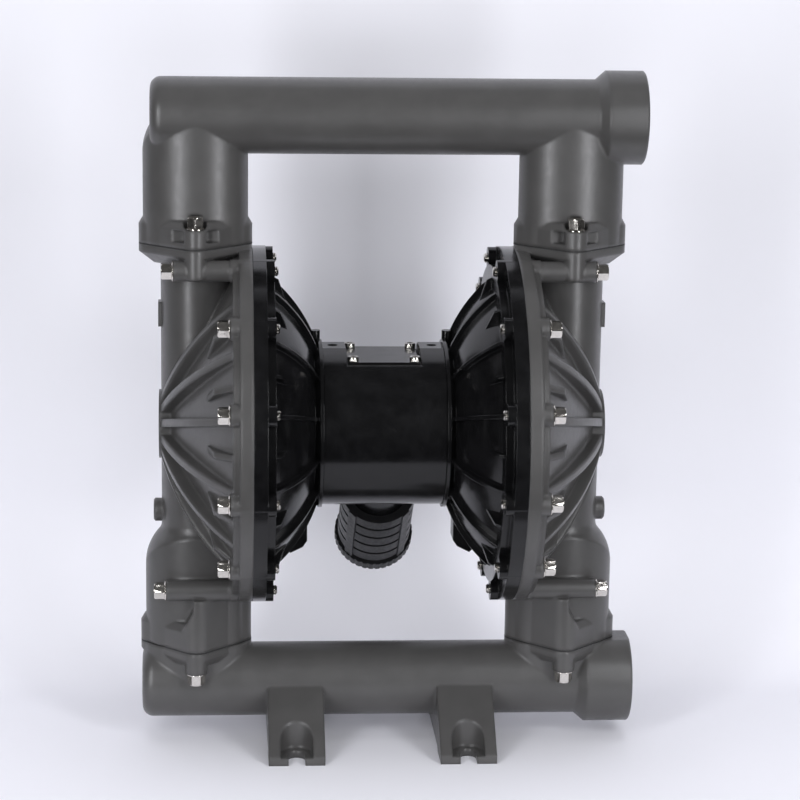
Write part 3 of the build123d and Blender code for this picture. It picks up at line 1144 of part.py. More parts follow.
with BuildPart() as cap_bolts_long_right:
    for y, z in long_bolt_places:
        end_x = LONG_BOSS_TOP_X if z > 0 else LONG_BOSS_BOTTOM_X
        with Locations(Plane(origin=(end_x, y, AXIS_Z + z), x_dir=(0, 1, 0), z_dir=(1, 0, 0))):
            add(hex_bolt(end_x - LUG_X + BOLT_END))
finish(cap_bolts_long_right, "cap_bolts_long_right")

with BuildPart() as cap_bolts_long_left:
    mirror(cap_bolts_long_right.part, about=Plane.YZ)
finish(cap_bolts_long_left, "cap_bolts_long_left")

centre_screw = small_screw(HUB_T + SMALL_GRIP)
with BuildPart() as centre_screws_right:
    with Locations(side_plane(HUB_INNER_X)):
        with PolarLocations(CENTRE_SCREW_CIRCLE_R, CENTRE_SCREWS):
            add(centre_screw)
finish(centre_screws_right, "centre_screws_right")

with BuildPart() as centre_screws_left:
    mirror(centre_screws_right.part, about=Plane.YZ)
finish(centre_screws_left, "centre_screws_left")
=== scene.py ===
"""Looks of an air operated double diaphragm pump, laid over its CAD frame.

Lengths are metres in the frame's own axes: +X out of the pipe ports, +Y to the exhaust, +Z up.
"""
from math import cos, pi, radians, sin
from typing import NamedTuple

import bmesh
import bpy
from bpy.props import FloatProperty, FloatVectorProperty, IntProperty, PointerProperty
from mathutils import Matrix, Vector
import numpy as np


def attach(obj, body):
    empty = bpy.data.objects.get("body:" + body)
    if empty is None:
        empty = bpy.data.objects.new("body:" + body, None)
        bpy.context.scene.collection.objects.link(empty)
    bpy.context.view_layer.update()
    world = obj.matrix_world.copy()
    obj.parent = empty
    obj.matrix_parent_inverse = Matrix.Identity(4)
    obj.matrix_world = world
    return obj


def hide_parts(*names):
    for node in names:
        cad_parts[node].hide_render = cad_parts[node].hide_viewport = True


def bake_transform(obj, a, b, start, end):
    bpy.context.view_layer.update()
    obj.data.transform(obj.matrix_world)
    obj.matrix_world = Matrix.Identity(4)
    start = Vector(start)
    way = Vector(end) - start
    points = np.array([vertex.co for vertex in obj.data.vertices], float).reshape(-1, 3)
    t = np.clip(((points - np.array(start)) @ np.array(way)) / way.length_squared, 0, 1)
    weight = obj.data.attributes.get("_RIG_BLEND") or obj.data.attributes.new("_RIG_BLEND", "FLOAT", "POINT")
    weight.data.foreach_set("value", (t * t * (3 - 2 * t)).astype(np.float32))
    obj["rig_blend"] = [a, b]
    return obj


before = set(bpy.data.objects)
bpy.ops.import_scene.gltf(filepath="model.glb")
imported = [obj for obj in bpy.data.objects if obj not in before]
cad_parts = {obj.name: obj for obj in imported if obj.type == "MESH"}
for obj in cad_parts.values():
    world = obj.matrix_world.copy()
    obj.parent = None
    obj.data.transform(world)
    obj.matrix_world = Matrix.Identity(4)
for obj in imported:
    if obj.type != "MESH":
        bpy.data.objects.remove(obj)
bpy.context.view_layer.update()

bl_info = {
    "name": "Diaphragm pump looks",
    "version": (1, 0, 0),
    "blender": (4, 5, 0),
    "location": "View3D > Sidebar > Pump",
    "description": "Dresses the packed pump frame with finishes, fasteners, threads and a studio",
    "category": "Object",
}

PUMP = "pump"

# which CAD nodes share a finish
GREY_CASTINGS = ("outlet_manifold", "inlet_manifold", "fluid_cap_left", "fluid_cap_right")
BLACK_CASTINGS = (
    "air_cap_left", "air_cap_right", "centre_body", "valve_body",
    "valve_end_cap_left", "valve_end_cap_right", "top_cover",
)
MUFFLER_PARTS = ("muffler_body", "muffler_end_cap")
RUBBER_PARTS = (
    "top_cover_gasket", "valve_gasket",
    "outlet_gasket_left", "outlet_gasket_right", "inlet_gasket_left", "inlet_gasket_right",
    "outlet_ball_left", "outlet_ball_right", "inlet_ball_left", "inlet_ball_right",
)
BARE_METAL_PARTS = (
    "inner_plate_left", "inner_plate_right", "outer_plate_left", "outer_plate_right",
    "main_spool", "diaphragm_rod", "trip_rod",
    "outlet_seat_left", "outlet_seat_right", "inlet_seat_left", "inlet_seat_right",
    "centre_screws_left", "centre_screws_right", "valve_cap_screws",
)
BRONZE_PARTS = ("rod_bush_left", "rod_bush_right")

# groups of bolts: CAD node and the way from the seat to the head
BOLT_GROUPS = (
    ("top_manifold_bolts", (0, 0, 1)),
    ("bottom_manifold_bolts", (0, 0, -1)),
    ("cap_bolts_short_left", (-1, 0, 0)),
    ("cap_bolts_short_right", (1, 0, 0)),
    ("cap_bolts_long_left", (-1, 0, 0)),
    ("cap_bolts_long_right", (1, 0, 0)),
)
SCREW_GROUPS = (
    ("top_cover_screws", (0, 0, 1)),
    ("valve_body_screws", (0, 1, 0)),
)


class Thread(NamedTuple):
    """A threaded opening: middle of its mouth, bore radius, length inward, way out, pitch."""
    mouth: tuple
    bore: float
    length: float
    axis: tuple
    pitch: float


PIPE_BORE = 0.0425
PIPE_LENGTH = 0.036
PIPE_PITCH = 0.003175
AIR_BORE = 0.0122
AIR_LENGTH = 0.016
AIR_PITCH = 0.001814
PORTS = {
    "outlet_thread": Thread((0.304, 0, 0.756), PIPE_BORE, PIPE_LENGTH, (1, 0, 0), PIPE_PITCH),
    "inlet_thread": Thread((0.306, 0, 0.070), PIPE_BORE, PIPE_LENGTH, (1, 0, 0), PIPE_PITCH),
    "air_inlet_thread": Thread((0, 0.1455, 0.393), AIR_BORE, AIR_LENGTH, (0, 1, 0), AIR_PITCH),
}

# a port's ridge, in pitches: how far it stands in, and half its width at the wall and at the crest
RIDGE_DEPTH = 0.45
RIDGE_FOOT = 0.42
RIDGE_CREST = 0.08
# where the ridge starts inside the mouth, how far its foot sinks into the wall, its least height
RIDGE_START = 0.002
RIDGE_SINK = 0.0002
RIDGE_LEAST = 1e-5

# bolt shank: depth of its thread, the thread's length as a share of the shank and at most,
# the bare stretch behind it, and the tapered tip as a share of the radius
THREAD_DEPTH = 0.0008
THREADED_SHARE = 0.6
THREADED_MOST = 0.026
RUNOUT = 0.001
TIP_SHARE = 0.16

# bolt head: edge of the flange as (in from the rim, up from the seat), the hexagon's chamfer as
# (down from the top, share rounded off), and the dish as (in from the flats, down from the top)
FLANGE_EDGE = ((0.0004, 0), (0, 0.0005), (0, 0.0014), (0.0006, 0.0019))
FLANGE_OVERLAP = 0.0002
HEXAGON_SINK = 0.0004
CHAMFER = ((0.0014, 0.0), (0.0007, 0.55), (0.0, 1.0))
DISH = ((0.0018, 0.0), (0.0030, 0.0009))
DISH_MIDDLE_RADIUS = 0.0015
DISH_DEPTH = 0.0010

# socket screw: tip of the shank as (in, up), lower edge and crown of the head, its knurl, its socket
SCREW_TIP_IN = 0.0005
SCREW_TIP_UP = 0.0006
HEAD_EDGE = 0.0004
KNURL_BELOW_TOP = 0.0012
KNURL_SHARE = 0.03
CROWN = ((0.0003, 0.0007), (0.0009, 0))
SOCKET_DEPTH = 0.0032
DRILL_DEPTH = 0.0038
DRILL_SHARE = 0.4

# diaphragm: points along its wave, and the rounded corners of its bead
WAVE_STEPS = 20
BEAD_CORNER = 0.0006

# backdrop paper: its front edge and a row behind it that keeps the floor's shading flat, its height,
# half its width, and the steps of its bend
PAPER_FRONT = -0.45
PAPER_FLAT = -0.2
PAPER_HEIGHT = 4.0
PAPER_HALF_WIDTH = 5.0
BEND_STEPS = 16

# lights: colour of the lamps and of the surroundings, and the point that the lamps face
LAMP_COLOUR = (0.955, 0.96, 1.0)
SURROUNDINGS = (0.99, 0.99, 1.0, 1)
PUMP_MIDDLE = (0, 0, 0.42)
# the all-round light grows to its full strength from minus to plus this height of its direction
HORIZON = 0.3

# noise mostly lies between these values
NOISE_LOW = 0.35
NOISE_HIGH = 0.65

# edges sharper than this stay sharp, and vertices closer than this are one
SHARP = radians(32)
WELD = 1e-6


# ---------------------------------------------------------------- settings
class PumpFinish(bpy.types.PropertyGroup):
    """Colours and grain of the pump's surfaces."""
    grey: FloatVectorProperty(
        name="Grey coating", description="Powder coat of the liquid-side castings",
        subtype="COLOR", size=3, min=0, max=1, default=(0.060, 0.0587, 0.0573))
    black: FloatVectorProperty(
        name="Black coating", description="Gloss coat of the air motor",
        subtype="COLOR", size=3, min=0, max=1, default=(0.004, 0.004, 0.0043))
    plastic: FloatVectorProperty(
        name="Muffler plastic", description="Moulded plastic of the exhaust muffler",
        subtype="COLOR", size=3, min=0, max=1, default=(0.011, 0.011, 0.012))
    rubber: FloatVectorProperty(
        name="Rubber", description="Gaskets, balls and diaphragms",
        subtype="COLOR", size=3, min=0, max=1, default=(0.012, 0.012, 0.012))
    steel: FloatVectorProperty(
        name="Stainless steel", description="Bolts and screws",
        subtype="COLOR", size=3, min=0, max=1, default=(0.74, 0.71, 0.66))
    bronze: FloatVectorProperty(
        name="Bronze", description="Rod bushes",
        subtype="COLOR", size=3, min=0, max=1, default=(0.5, 0.33, 0.14))
    grain: FloatProperty(
        name="Coating grain", description="Size of the fine bumps in the grey powder coat",
        unit="LENGTH", min=0.0002, max=0.01, default=0.0011)
    grain_height: FloatProperty(
        name="Grain height", description="Depth of the bumps in the grey powder coat",
        unit="LENGTH", min=0, max=0.001, default=0.00004)
    edge: FloatProperty(
        name="Casting edge", description="Radius that softens the edges of the castings",
        unit="LENGTH", min=0, max=0.01, default=0.0055)


class PumpFasteners(bpy.types.PropertyGroup):
    """Sizes of the bolts and screws."""
    flats: FloatProperty(
        name="Bolt flats", description="Across flats of the hexagon",
        unit="LENGTH", min=0.001, max=0.1, default=0.018)
    head: FloatProperty(
        name="Bolt head", description="Height of the hexagon over its flange",
        unit="LENGTH", min=0.001, max=0.1, default=0.0118)
    flange: FloatProperty(
        name="Bolt flange", description="Radius of the flange under the hexagon",
        unit="LENGTH", min=0.001, max=0.1, default=0.0125)
    flange_height: FloatProperty(
        name="Flange height", description="Height of the flange under the hexagon",
        unit="LENGTH", min=0.0001, max=0.1, default=0.0027)
    shank: FloatProperty(
        name="Bolt radius", description="Outer radius of the bolt's thread",
        unit="LENGTH", min=0.001, max=0.1, default=0.006)
    pitch: FloatProperty(
        name="Bolt pitch", description="Pitch of the bolt's thread",
        unit="LENGTH", min=0.0005, max=0.01, default=0.00175)
    screw_head: FloatProperty(
        name="Screw head", description="Radius of the socket screws' heads",
        unit="LENGTH", min=0.001, max=0.1, default=0.0065)
    screw_height: FloatProperty(
        name="Screw head height", description="Height of the socket screws' heads",
        unit="LENGTH", min=0.001, max=0.1, default=0.006)
    screw_shank: FloatProperty(
        name="Screw radius", description="Radius of the socket screws' shanks",
        unit="LENGTH", min=0.001, max=0.1, default=0.004)
    socket: FloatProperty(
        name="Socket", description="Radius of the hexagon socket",
        unit="LENGTH", min=0.0005, max=0.1, default=0.0033)
    steps: IntProperty(
        name="Steps round", description="Points in each ring of a turned piece",
        min=12, max=192, default=48)


class PumpDiaphragms(bpy.types.PropertyGroup):
    """Section of the two diaphragms, which bend between the clamped rim and the plates."""
    plane: FloatProperty(
        name="Diaphragm plane", description="Distance of each diaphragm from the middle of the pump",
        unit="LENGTH", min=0, max=1, default=0.155)
    axis_height: FloatProperty(
        name="Axis height", description="Height of the diaphragms' axis above the floor",
        unit="LENGTH", min=0, max=2, default=0.3885)
    hole: FloatProperty(
        name="Hole", description="Radius of the hole for the stud",
        unit="LENGTH", min=0.001, max=0.1, default=0.0093)
    sheet: FloatProperty(
        name="Sheet", description="Half the thickness of the sheet",
        unit="LENGTH", min=0.0005, max=0.01, default=0.0025)
    wave_in: FloatProperty(
        name="Wave inside", description="Radius at which the moulded wave starts",
        unit="LENGTH", min=0.01, max=0.3, default=0.086)
    wave_out: FloatProperty(
        name="Wave outside", description="Radius at which the moulded wave ends",
        unit="LENGTH", min=0.01, max=0.3, default=0.162)
    wave_height: FloatProperty(
        name="Wave height", description="How far the wave stands out",
        unit="LENGTH", min=0, max=0.05, default=0.008)
    bead_in: FloatProperty(
        name="Bead inside", description="Inner radius of the clamped bead",
        unit="LENGTH", min=0.01, max=0.3, default=0.1723)
    bead_out: FloatProperty(
        name="Bead outside", description="Outer radius of the clamped bead",
        unit="LENGTH", min=0.01, max=0.3, default=0.1837)
    bead: FloatProperty(
        name="Bead", description="Half the thickness of the clamped bead",
        unit="LENGTH", min=0.0005, max=0.01, default=0.0034)


class PumpStudio(bpy.types.PropertyGroup):
    """Backdrop, lights and camera."""
    paper: FloatVectorProperty(
        name="Paper", description="Colour of the floor and backdrop",
        subtype="COLOR", size=3, min=0, max=1, default=(0.845, 0.845, 0.89))
    wall: FloatProperty(
        name="Backdrop distance", description="How far behind the pump's middle the paper rises",
        unit="LENGTH", min=0.3, max=5, default=0.37)
    bend: FloatProperty(
        name="Backdrop bend", description="Radius of the curve between floor and backdrop",
        unit="LENGTH", min=0.05, max=2, default=0.23)
    lens: FloatProperty(
        name="Lens", description="Focal length of the camera",
        subtype="DISTANCE_CAMERA", min=20, max=300, default=117.69)
    place: FloatVectorProperty(
        name="Camera place", description="Where the camera stands",
        subtype="TRANSLATION", unit="LENGTH", size=3, default=(-0.201457, -3.050673, 1.073522))
    yaw: FloatProperty(
        name="Yaw", description="Camera turned to the right", subtype="ANGLE",
        unit="ROTATION", default=radians(4.197))
    pitch: FloatProperty(
        name="Pitch", description="Camera tipped down", subtype="ANGLE",
        unit="ROTATION", default=radians(12.121))
    roll: FloatProperty(
        name="Roll", description="Camera rolled", subtype="ANGLE",
        unit="ROTATION", default=radians(-0.827))
    key: FloatProperty(
        name="Side lights", description="Strength of the two large front lights",
        unit="POWER", min=0, default=18)
    low: FloatProperty(
        name="Low fill", description="Strength of the light bounced from low in front",
        unit="POWER", min=0, default=7)
    glow: FloatProperty(
        name="Backdrop light", description="Strength of the light on the paper behind the pump's foot",
        unit="POWER", min=0, default=0.24)
    top: FloatProperty(
        name="Top light", description="Strength of the light above the pump",
        unit="POWER", min=0, default=10)
    fill: FloatProperty(
        name="Fill", description="Strength of the light from all round",
        subtype="FACTOR", min=0, max=2, default=0.46)
    below: FloatProperty(
        name="Fill from below", description="Share of the all-round light that comes up from below",
        subtype="FACTOR", min=0, max=1, default=0.15)
    seen: FloatProperty(
        name="Seen brightness", description="Brightness of the surroundings where the camera sees them",
        subtype="FACTOR", min=0, max=1, default=0.88)
    mirrored: FloatProperty(
        name="Mirrored fill", description="Share of the all-round light that shiny surfaces mirror",
        subtype="FACTOR", min=0, max=1, default=0.15)


# ---------------------------------------------------------------- small mesh tools
def new_object(name, builder):
    """An object from a filled bmesh, with the sharp edges of its smooth faces kept."""
    mesh = bpy.data.meshes.new(name)
    bmesh.ops.recalc_face_normals(builder, faces=builder.faces[:])
    builder.to_mesh(mesh)
    builder.free()
    obj = bpy.data.objects.new(name, mesh)
    bpy.context.scene.collection.objects.link(obj)
    mesh.set_sharp_from_angle(angle=SHARP)
    return obj


def ring(builder, place, points):
    """A closed loop of vertices at points (x, y, z), moved by place."""
    return [builder.verts.new(place @ Vector(point)) for point in points]


def bridge(builder, low, high, smooth=True):
    """Quads between two loops of the same length."""
    count = len(low)
    for i in range(count):
        j = (i + 1) % count
        face = builder.faces.new((low[i], low[j], high[j], high[i]))
        face.smooth = smooth


def circle_points(radius, height, count):
    """Points of a circle round local Z."""
    return [(radius * cos(2 * pi * i / count), radius * sin(2 * pi * i / count), height)
            for i in range(count)]


def hexagon_points(flats, height, count, rounding=0.0):
    """Points of a hexagon round local Z, drawn in towards its inner circle by rounding 0 to 1."""
    points = []
    for i in range(count):
        angle = 2 * pi * i / count
        from_flat = (angle + pi / 6) % (pi / 3) - pi / 6
        radius = flats / 2 / cos(from_flat)
        radius += (flats / 2 - radius) * rounding
        points.append((radius * cos(angle), radius * sin(angle), height))
    return points


def loft(builder, place, outlines, smooth=True):
    """Joined outlines of the same point count, closed at both ends."""
    loops = [ring(builder, place, outline) for outline in outlines]
    for low, high in zip(loops, loops[1:]):
        bridge(builder, low, high, smooth)
    builder.faces.new(loops[0])
    builder.faces.new(loops[-1])


def lathe(builder, place, profile, count):
    """Circles along a (radius, height) profile, joined and closed at both ends."""
    loft(builder, place, [circle_points(radius, height, count) for radius, height in profile])


def seat_matrix(seat, axis):
    """Local Z along axis from the seat."""
    turn = Vector((0, 0, 1)).rotation_difference(Vector(axis))
    return Matrix.Translation(seat) @ turn.to_matrix().to_4x4()


def solids_of(node):
    """Lowest and highest corner of each separate solid of a CAD node."""
    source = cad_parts[node]
    builder = bmesh.new()
    builder.from_mesh(source.data)
    builder.transform(source.matrix_world)
    bmesh.ops.remove_doubles(builder, verts=builder.verts[:], dist=WELD)
    left = set(builder.verts)
    boxes = []
    while left:
        wave = [left.pop()]
        found = [wave[0]]
        while wave:
            vertex = wave.pop()
            for edge in vertex.link_edges:
                other = edge.other_vert(vertex)
                if other in left:
                    left.remove(other)
                    wave.append(other)
                    found.append(other)
        low = Vector([min(v.co[i] for v in found) for i in range(3)])
        high = Vector([max(v.co[i] for v in found) for i in range(3)])
        boxes.append((low, high))
    builder.free()
    return boxes


def fastener_places(node, axis, head_height):
    """For each fastener of a node: the middle of its seat, and its length under the head."""
    axis = Vector(axis)
    places = []
    for low, high in solids_of(node):
        middle = (low + high) / 2
        half = abs((high - low).dot(axis)) / 2
        seat = middle + axis * (half - head_height)
        places.append((seat, 2 * half - head_height))
    return sorted(places, key=lambda place: tuple(round(v, 5) for v in place[0]))


def thread_profile(radius, start, end, pitch, depth):
    """(radius, height) zigzag of thread crests from start to end."""
    turns = max(1, int((end - start) / pitch))
    profile = []
    for i in range(turns):
        height = start + i * pitch
        profile.append((radius - depth, height))
        profile.append((radius, height + pitch / 2))
    profile.append((radius - depth, end))
    return profile


# ---------------------------------------------------------------- materials
class Nodes:
    """Short spelling for building one node material."""

    def __init__(self, name):
        self.material = bpy.data.materials.get(name) or bpy.data.materials.new(name)
        self.material.use_nodes = True
        self.tree = self.material.node_tree
        self.tree.nodes.clear()
        self.shader = self.add("ShaderNodeBsdfPrincipled")
        self.output = self.add("ShaderNodeOutputMaterial")
        self.link(self.shader.outputs["BSDF"], self.output.inputs["Surface"])

    def add(self, kind, **values):
        """A node with its input sockets set by name."""
        node = self.tree.nodes.new(kind)
        for key, value in values.items():
            node.inputs[key.replace("_", " ")].default_value = value
        return node

    def link(self, source, target):
        """Joins two sockets."""
        self.tree.links.new(source, target)

    def noise(self, size, detail):
        """Noise whose features are about size metres, in object space."""
        place = self.add("ShaderNodeTexCoord")
        noise = self.add("ShaderNodeTexNoise", Scale=1 / size, Detail=detail, Roughness=0.55)
        self.link(place.outputs["Object"], noise.inputs["Vector"])
        return noise.outputs["Fac"]

    def spread(self, factor, low, high):
        """Maps a noise factor to low..high."""
        spread = self.add("ShaderNodeMapRange", From_Min=NOISE_LOW, From_Max=NOISE_HIGH,
                          To_Min=low, To_Max=high)
        self.link(factor, spread.inputs["Value"])
        return spread.outputs["Result"]

    def colour(self, dark, light, size, detail):
        """Base colour that drifts between dark and light over about size metres."""
        mix = self.tree.nodes.new("ShaderNodeMix")
        mix.data_type = "RGBA"
        mix.inputs["A"].default_value = (*dark, 1)
        mix.inputs["B"].default_value = (*light, 1)
        self.link(self.spread(self.noise(size, detail), 0, 1), mix.inputs["Factor"])
        self.link(mix.outputs["Result"], self.shader.inputs["Base Color"])

    def roughness(self, low, high, size, detail):
        """Roughness that drifts between low and high over about size metres."""
        self.link(self.spread(self.noise(size, detail), low, high), self.shader.inputs["Roughness"])

    def specular(self, level):
        """Strength of the shine at the surface of the coat."""
        self.shader.inputs["Specular IOR Level"].default_value = level

    def metal(self):
        """Makes the finish bare metal."""
        self.shader.inputs["Metallic"].default_value = 1.0

    def rounded(self, radius):
        """Normal that rounds hard edges by radius."""
        bevel = self.add("ShaderNodeBevel", Radius=radius)
        bevel.samples = 6
        return bevel.outputs["Normal"]

    def bump(self, size, height, normal=None):
        """Normal with bumps about size metres across and height metres from low to high."""
        bump = self.add("ShaderNodeBump", Strength=1.0, Distance=height)
        self.link(self.noise(size, detail=2), bump.inputs["Height"])
        if normal is not None:
            self.link(normal, bump.inputs["Normal"])
        return bump.outputs["Normal"]

    def relief(self, normal):
        """Shades the finish by a normal."""
        self.link(normal, self.shader.inputs["Normal"])


def scaled(colour, factor):
    """Colour times factor."""
    return tuple(value * factor for value in colour)


def grey_coating(finish):
    """Satin powder coat over cast metal: fine grain, faint cloudiness, softened edges."""
    n = Nodes("grey_coating")
    n.colour(scaled(finish.grey, 0.93), scaled(finish.grey, 1.06), size=0.035, detail=4)
    n.roughness(0.31, 0.39, size=0.006, detail=5)
    grain = n.bump(finish.grain, finish.grain_height, n.rounded(finish.edge))
    n.relief(n.bump(size=0.012, height=0.00006, normal=grain))
    n.specular(0.6)
    return n.material


def black_coating(finish):
    """Gloss black coat over cast metal, slightly uneven in colour, shine and surface."""
    n = Nodes("black_coating")
    n.colour(finish.black, scaled(finish.black, 1.6), size=0.02, detail=3)
    n.roughness(0.15, 0.21, size=0.02, detail=3)
    n.relief(n.bump(size=0.005, height=0.00001, normal=n.rounded(0.0015)))
    n.specular(0.38)
    return n.material


def muffler_plastic(finish):
    """Matte moulded plastic with a spark-eroded grain."""
    n = Nodes("muffler_plastic")
    n.colour(finish.plastic, scaled(finish.plastic, 1.5), size=0.01, detail=3)
    n.roughness(0.42, 0.56, size=0.004, detail=3)
    n.relief(n.bump(size=0.0007, height=0.00005, normal=n.rounded(0.0008)))
    return n.material


def rubber(finish):
    """Black rubber with a faint bloom."""
    n = Nodes("black_rubber")
    n.colour(finish.rubber, scaled(finish.rubber, 1.7), size=0.008, detail=4)
    n.roughness(0.6, 0.75, size=0.003, detail=3)
    n.relief(n.bump(size=0.0009, height=0.00004))
    return n.material


def stainless(finish):
    """Bright stainless steel with a slightly uneven shine."""
    n = Nodes("stainless")
    n.colour(scaled(finish.steel, 0.88), finish.steel, size=0.004, detail=3)
    n.metal()
    n.roughness(0.13, 0.19, size=0.004, detail=3)
    n.relief(n.bump(size=0.002, height=0.000003, normal=n.rounded(0.0005)))
    return n.material


def bare_metal(finish):
    """Machined metal of the parts inside."""
    n = Nodes("bare_metal")
    n.colour(scaled(finish.steel, 0.7), scaled(finish.steel, 0.85), size=0.01, detail=3)
    n.metal()
    n.roughness(0.28, 0.42, size=0.004, detail=4)
    return n.material


def bronze(finish):
    """Sintered bronze of the rod bushes."""
    n = Nodes("bronze")
    n.colour(scaled(finish.bronze, 0.7), finish.bronze, size=0.003, detail=4)
    n.metal()
    n.roughness(0.35, 0.5, size=0.002, detail=3)
    return n.material


def paper(studio):
    """Matte backdrop paper with barely visible mottling, clear from behind so it hides nothing."""
    n = Nodes("backdrop_paper")
    n.colour(scaled(studio.paper, 0.985), studio.paper, size=0.4, detail=2)
    n.shader.inputs["Roughness"].default_value = 0.75
    n.specular(0.2)
    side = n.add("ShaderNodeNewGeometry")
    clear = n.add("ShaderNodeBsdfTransparent")
    either = n.add("ShaderNodeMixShader")
    n.link(side.outputs["Backfacing"], either.inputs["Fac"])
    n.link(n.shader.outputs["BSDF"], either.inputs[1])
    n.link(clear.outputs["BSDF"], either.inputs[2])
    n.link(either.outputs["Shader"], n.output.inputs["Surface"])
    return n.material


def paint(names, material):
    """Gives CAD nodes one material."""
    for name in names:
        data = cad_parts[name].data
        data.materials.clear()
        data.materials.append(material)


# ---------------------------------------------------------------- operators
class PUMP_OT_finishes(bpy.types.Operator):
    """Give every CAD node of the pump its finish"""
    bl_idname = "pump.finishes"
    bl_label = "Finish the castings"

    def execute(self, context):
        """Paints the node groups."""
        finish = context.scene.pump_finish
        paint(GREY_CASTINGS, grey_coating(finish))
        paint(BLACK_CASTINGS, black_coating(finish))
        paint(MUFFLER_PARTS, muffler_plastic(finish))
        paint(RUBBER_PARTS, rubber(finish))
        paint(BARE_METAL_PARTS, bare_metal(finish))
        paint(BRONZE_PARTS, bronze(finish))
        return {"FINISHED"}


class PUMP_OT_bolts(bpy.types.Operator):
    """Build the flanged hexagon bolts with chamfered heads and threads"""
    bl_idname = "pump.bolts"
    bl_label = "Build the bolts"

    def execute(self, context):
        """One object for each bolt node."""
        sizes = context.scene.pump_fasteners
        material = stainless(context.scene.pump_finish)
        head_height = sizes.head + sizes.flange_height
        for node, axis in BOLT_GROUPS:
            builder = bmesh.new()
            for seat, length in fastener_places(node, axis, head_height):
                place = seat_matrix(seat, axis)
                self.shank(builder, place, length, sizes)
                self.head(builder, place, sizes)
            bolts = new_object(node + "_detailed", builder)
            bolts.data.materials.append(material)
            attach(bolts, PUMP)
            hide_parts(node)
        return {"FINISHED"}

    @staticmethod
    def shank(builder, place, length, sizes):
        """Shank under the seat, threaded near its end."""
        radius = sizes.shank
        threaded = min(length * THREADED_SHARE, THREADED_MOST)
        tip = radius * TIP_SHARE
        thread = thread_profile(radius, -length + tip, -length + threaded, sizes.pitch, THREAD_DEPTH)
        plain = [(radius, -length + threaded + RUNOUT), (radius, 0)]
        lathe(builder, place, [(radius - 2 * tip, -length), *thread, *plain], sizes.steps)

    @staticmethod
    def head(builder, place, sizes):
        """Flange with eased edges, hexagon with a turned chamfer, shallow dish on top."""
        count = sizes.steps
        flats = sizes.flats
        top = sizes.flange_height + sizes.head
        flange = [(sizes.flange - inward, up) for inward, up in FLANGE_EDGE]
        flange.append((flats / 2 + FLANGE_OVERLAP, sizes.flange_height + FLANGE_OVERLAP))
        lathe(builder, place, flange, count)
        loft(builder, place, [
            hexagon_points(flats, sizes.flange_height - HEXAGON_SINK, count),
            *(hexagon_points(flats, top - down, count, rounding) for down, rounding in CHAMFER),
            *(circle_points(flats / 2 - inward, top - down, count) for inward, down in DISH),
            circle_points(DISH_MIDDLE_RADIUS, top - DISH_DEPTH, count),
        ], smooth=False)


class PUMP_OT_screws(bpy.types.Operator):
    """Build the socket head screws of the top cover and the air valve"""
    bl_idname = "pump.screws"
    bl_label = "Build the socket screws"

    def execute(self, context):
        """One object for each screw node."""
        sizes = context.scene.pump_fasteners
        material = stainless(context.scene.pump_finish)
        for node, axis in SCREW_GROUPS:
            builder = bmesh.new()
            for seat, length in fastener_places(node, axis, sizes.screw_height):
                self.screw(builder, seat_matrix(seat, axis), length, sizes)
            screws = new_object(node + "_detailed", builder)
            screws.data.materials.append(material)
            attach(screws, PUMP)
            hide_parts(node)
        return {"FINISHED"}

    @staticmethod
    def screw(builder, place, length, sizes):
        """Knurled cylinder head with a hexagon socket, on a plain shank."""
        count = sizes.steps * 2
        shank = sizes.screw_shank
        head = sizes.screw_head
        top = sizes.screw_height
        lathe(builder, place, [(shank - SCREW_TIP_IN, -length), (shank, -length + SCREW_TIP_UP),
                               (shank, 0)], sizes.steps)
        knurl = []
        for height in (HEAD_EDGE, top - KNURL_BELOW_TOP):
            knurl.append([(x * (1 - KNURL_SHARE * (i % 2)), y * (1 - KNURL_SHARE * (i % 2)), z)
                          for i, (x, y, z) in enumerate(circle_points(head, height, count))])
        loft(builder, place, [
            circle_points(head - HEAD_EDGE, 0, count),
            *knurl,
            *(circle_points(head - inward, top - down, count) for inward, down in CROWN),
            hexagon_points(2 * sizes.socket, top, count),
            hexagon_points(2 * sizes.socket, top - SOCKET_DEPTH, count),
            circle_points(sizes.socket * DRILL_SHARE, top - DRILL_DEPTH, count),
        ])


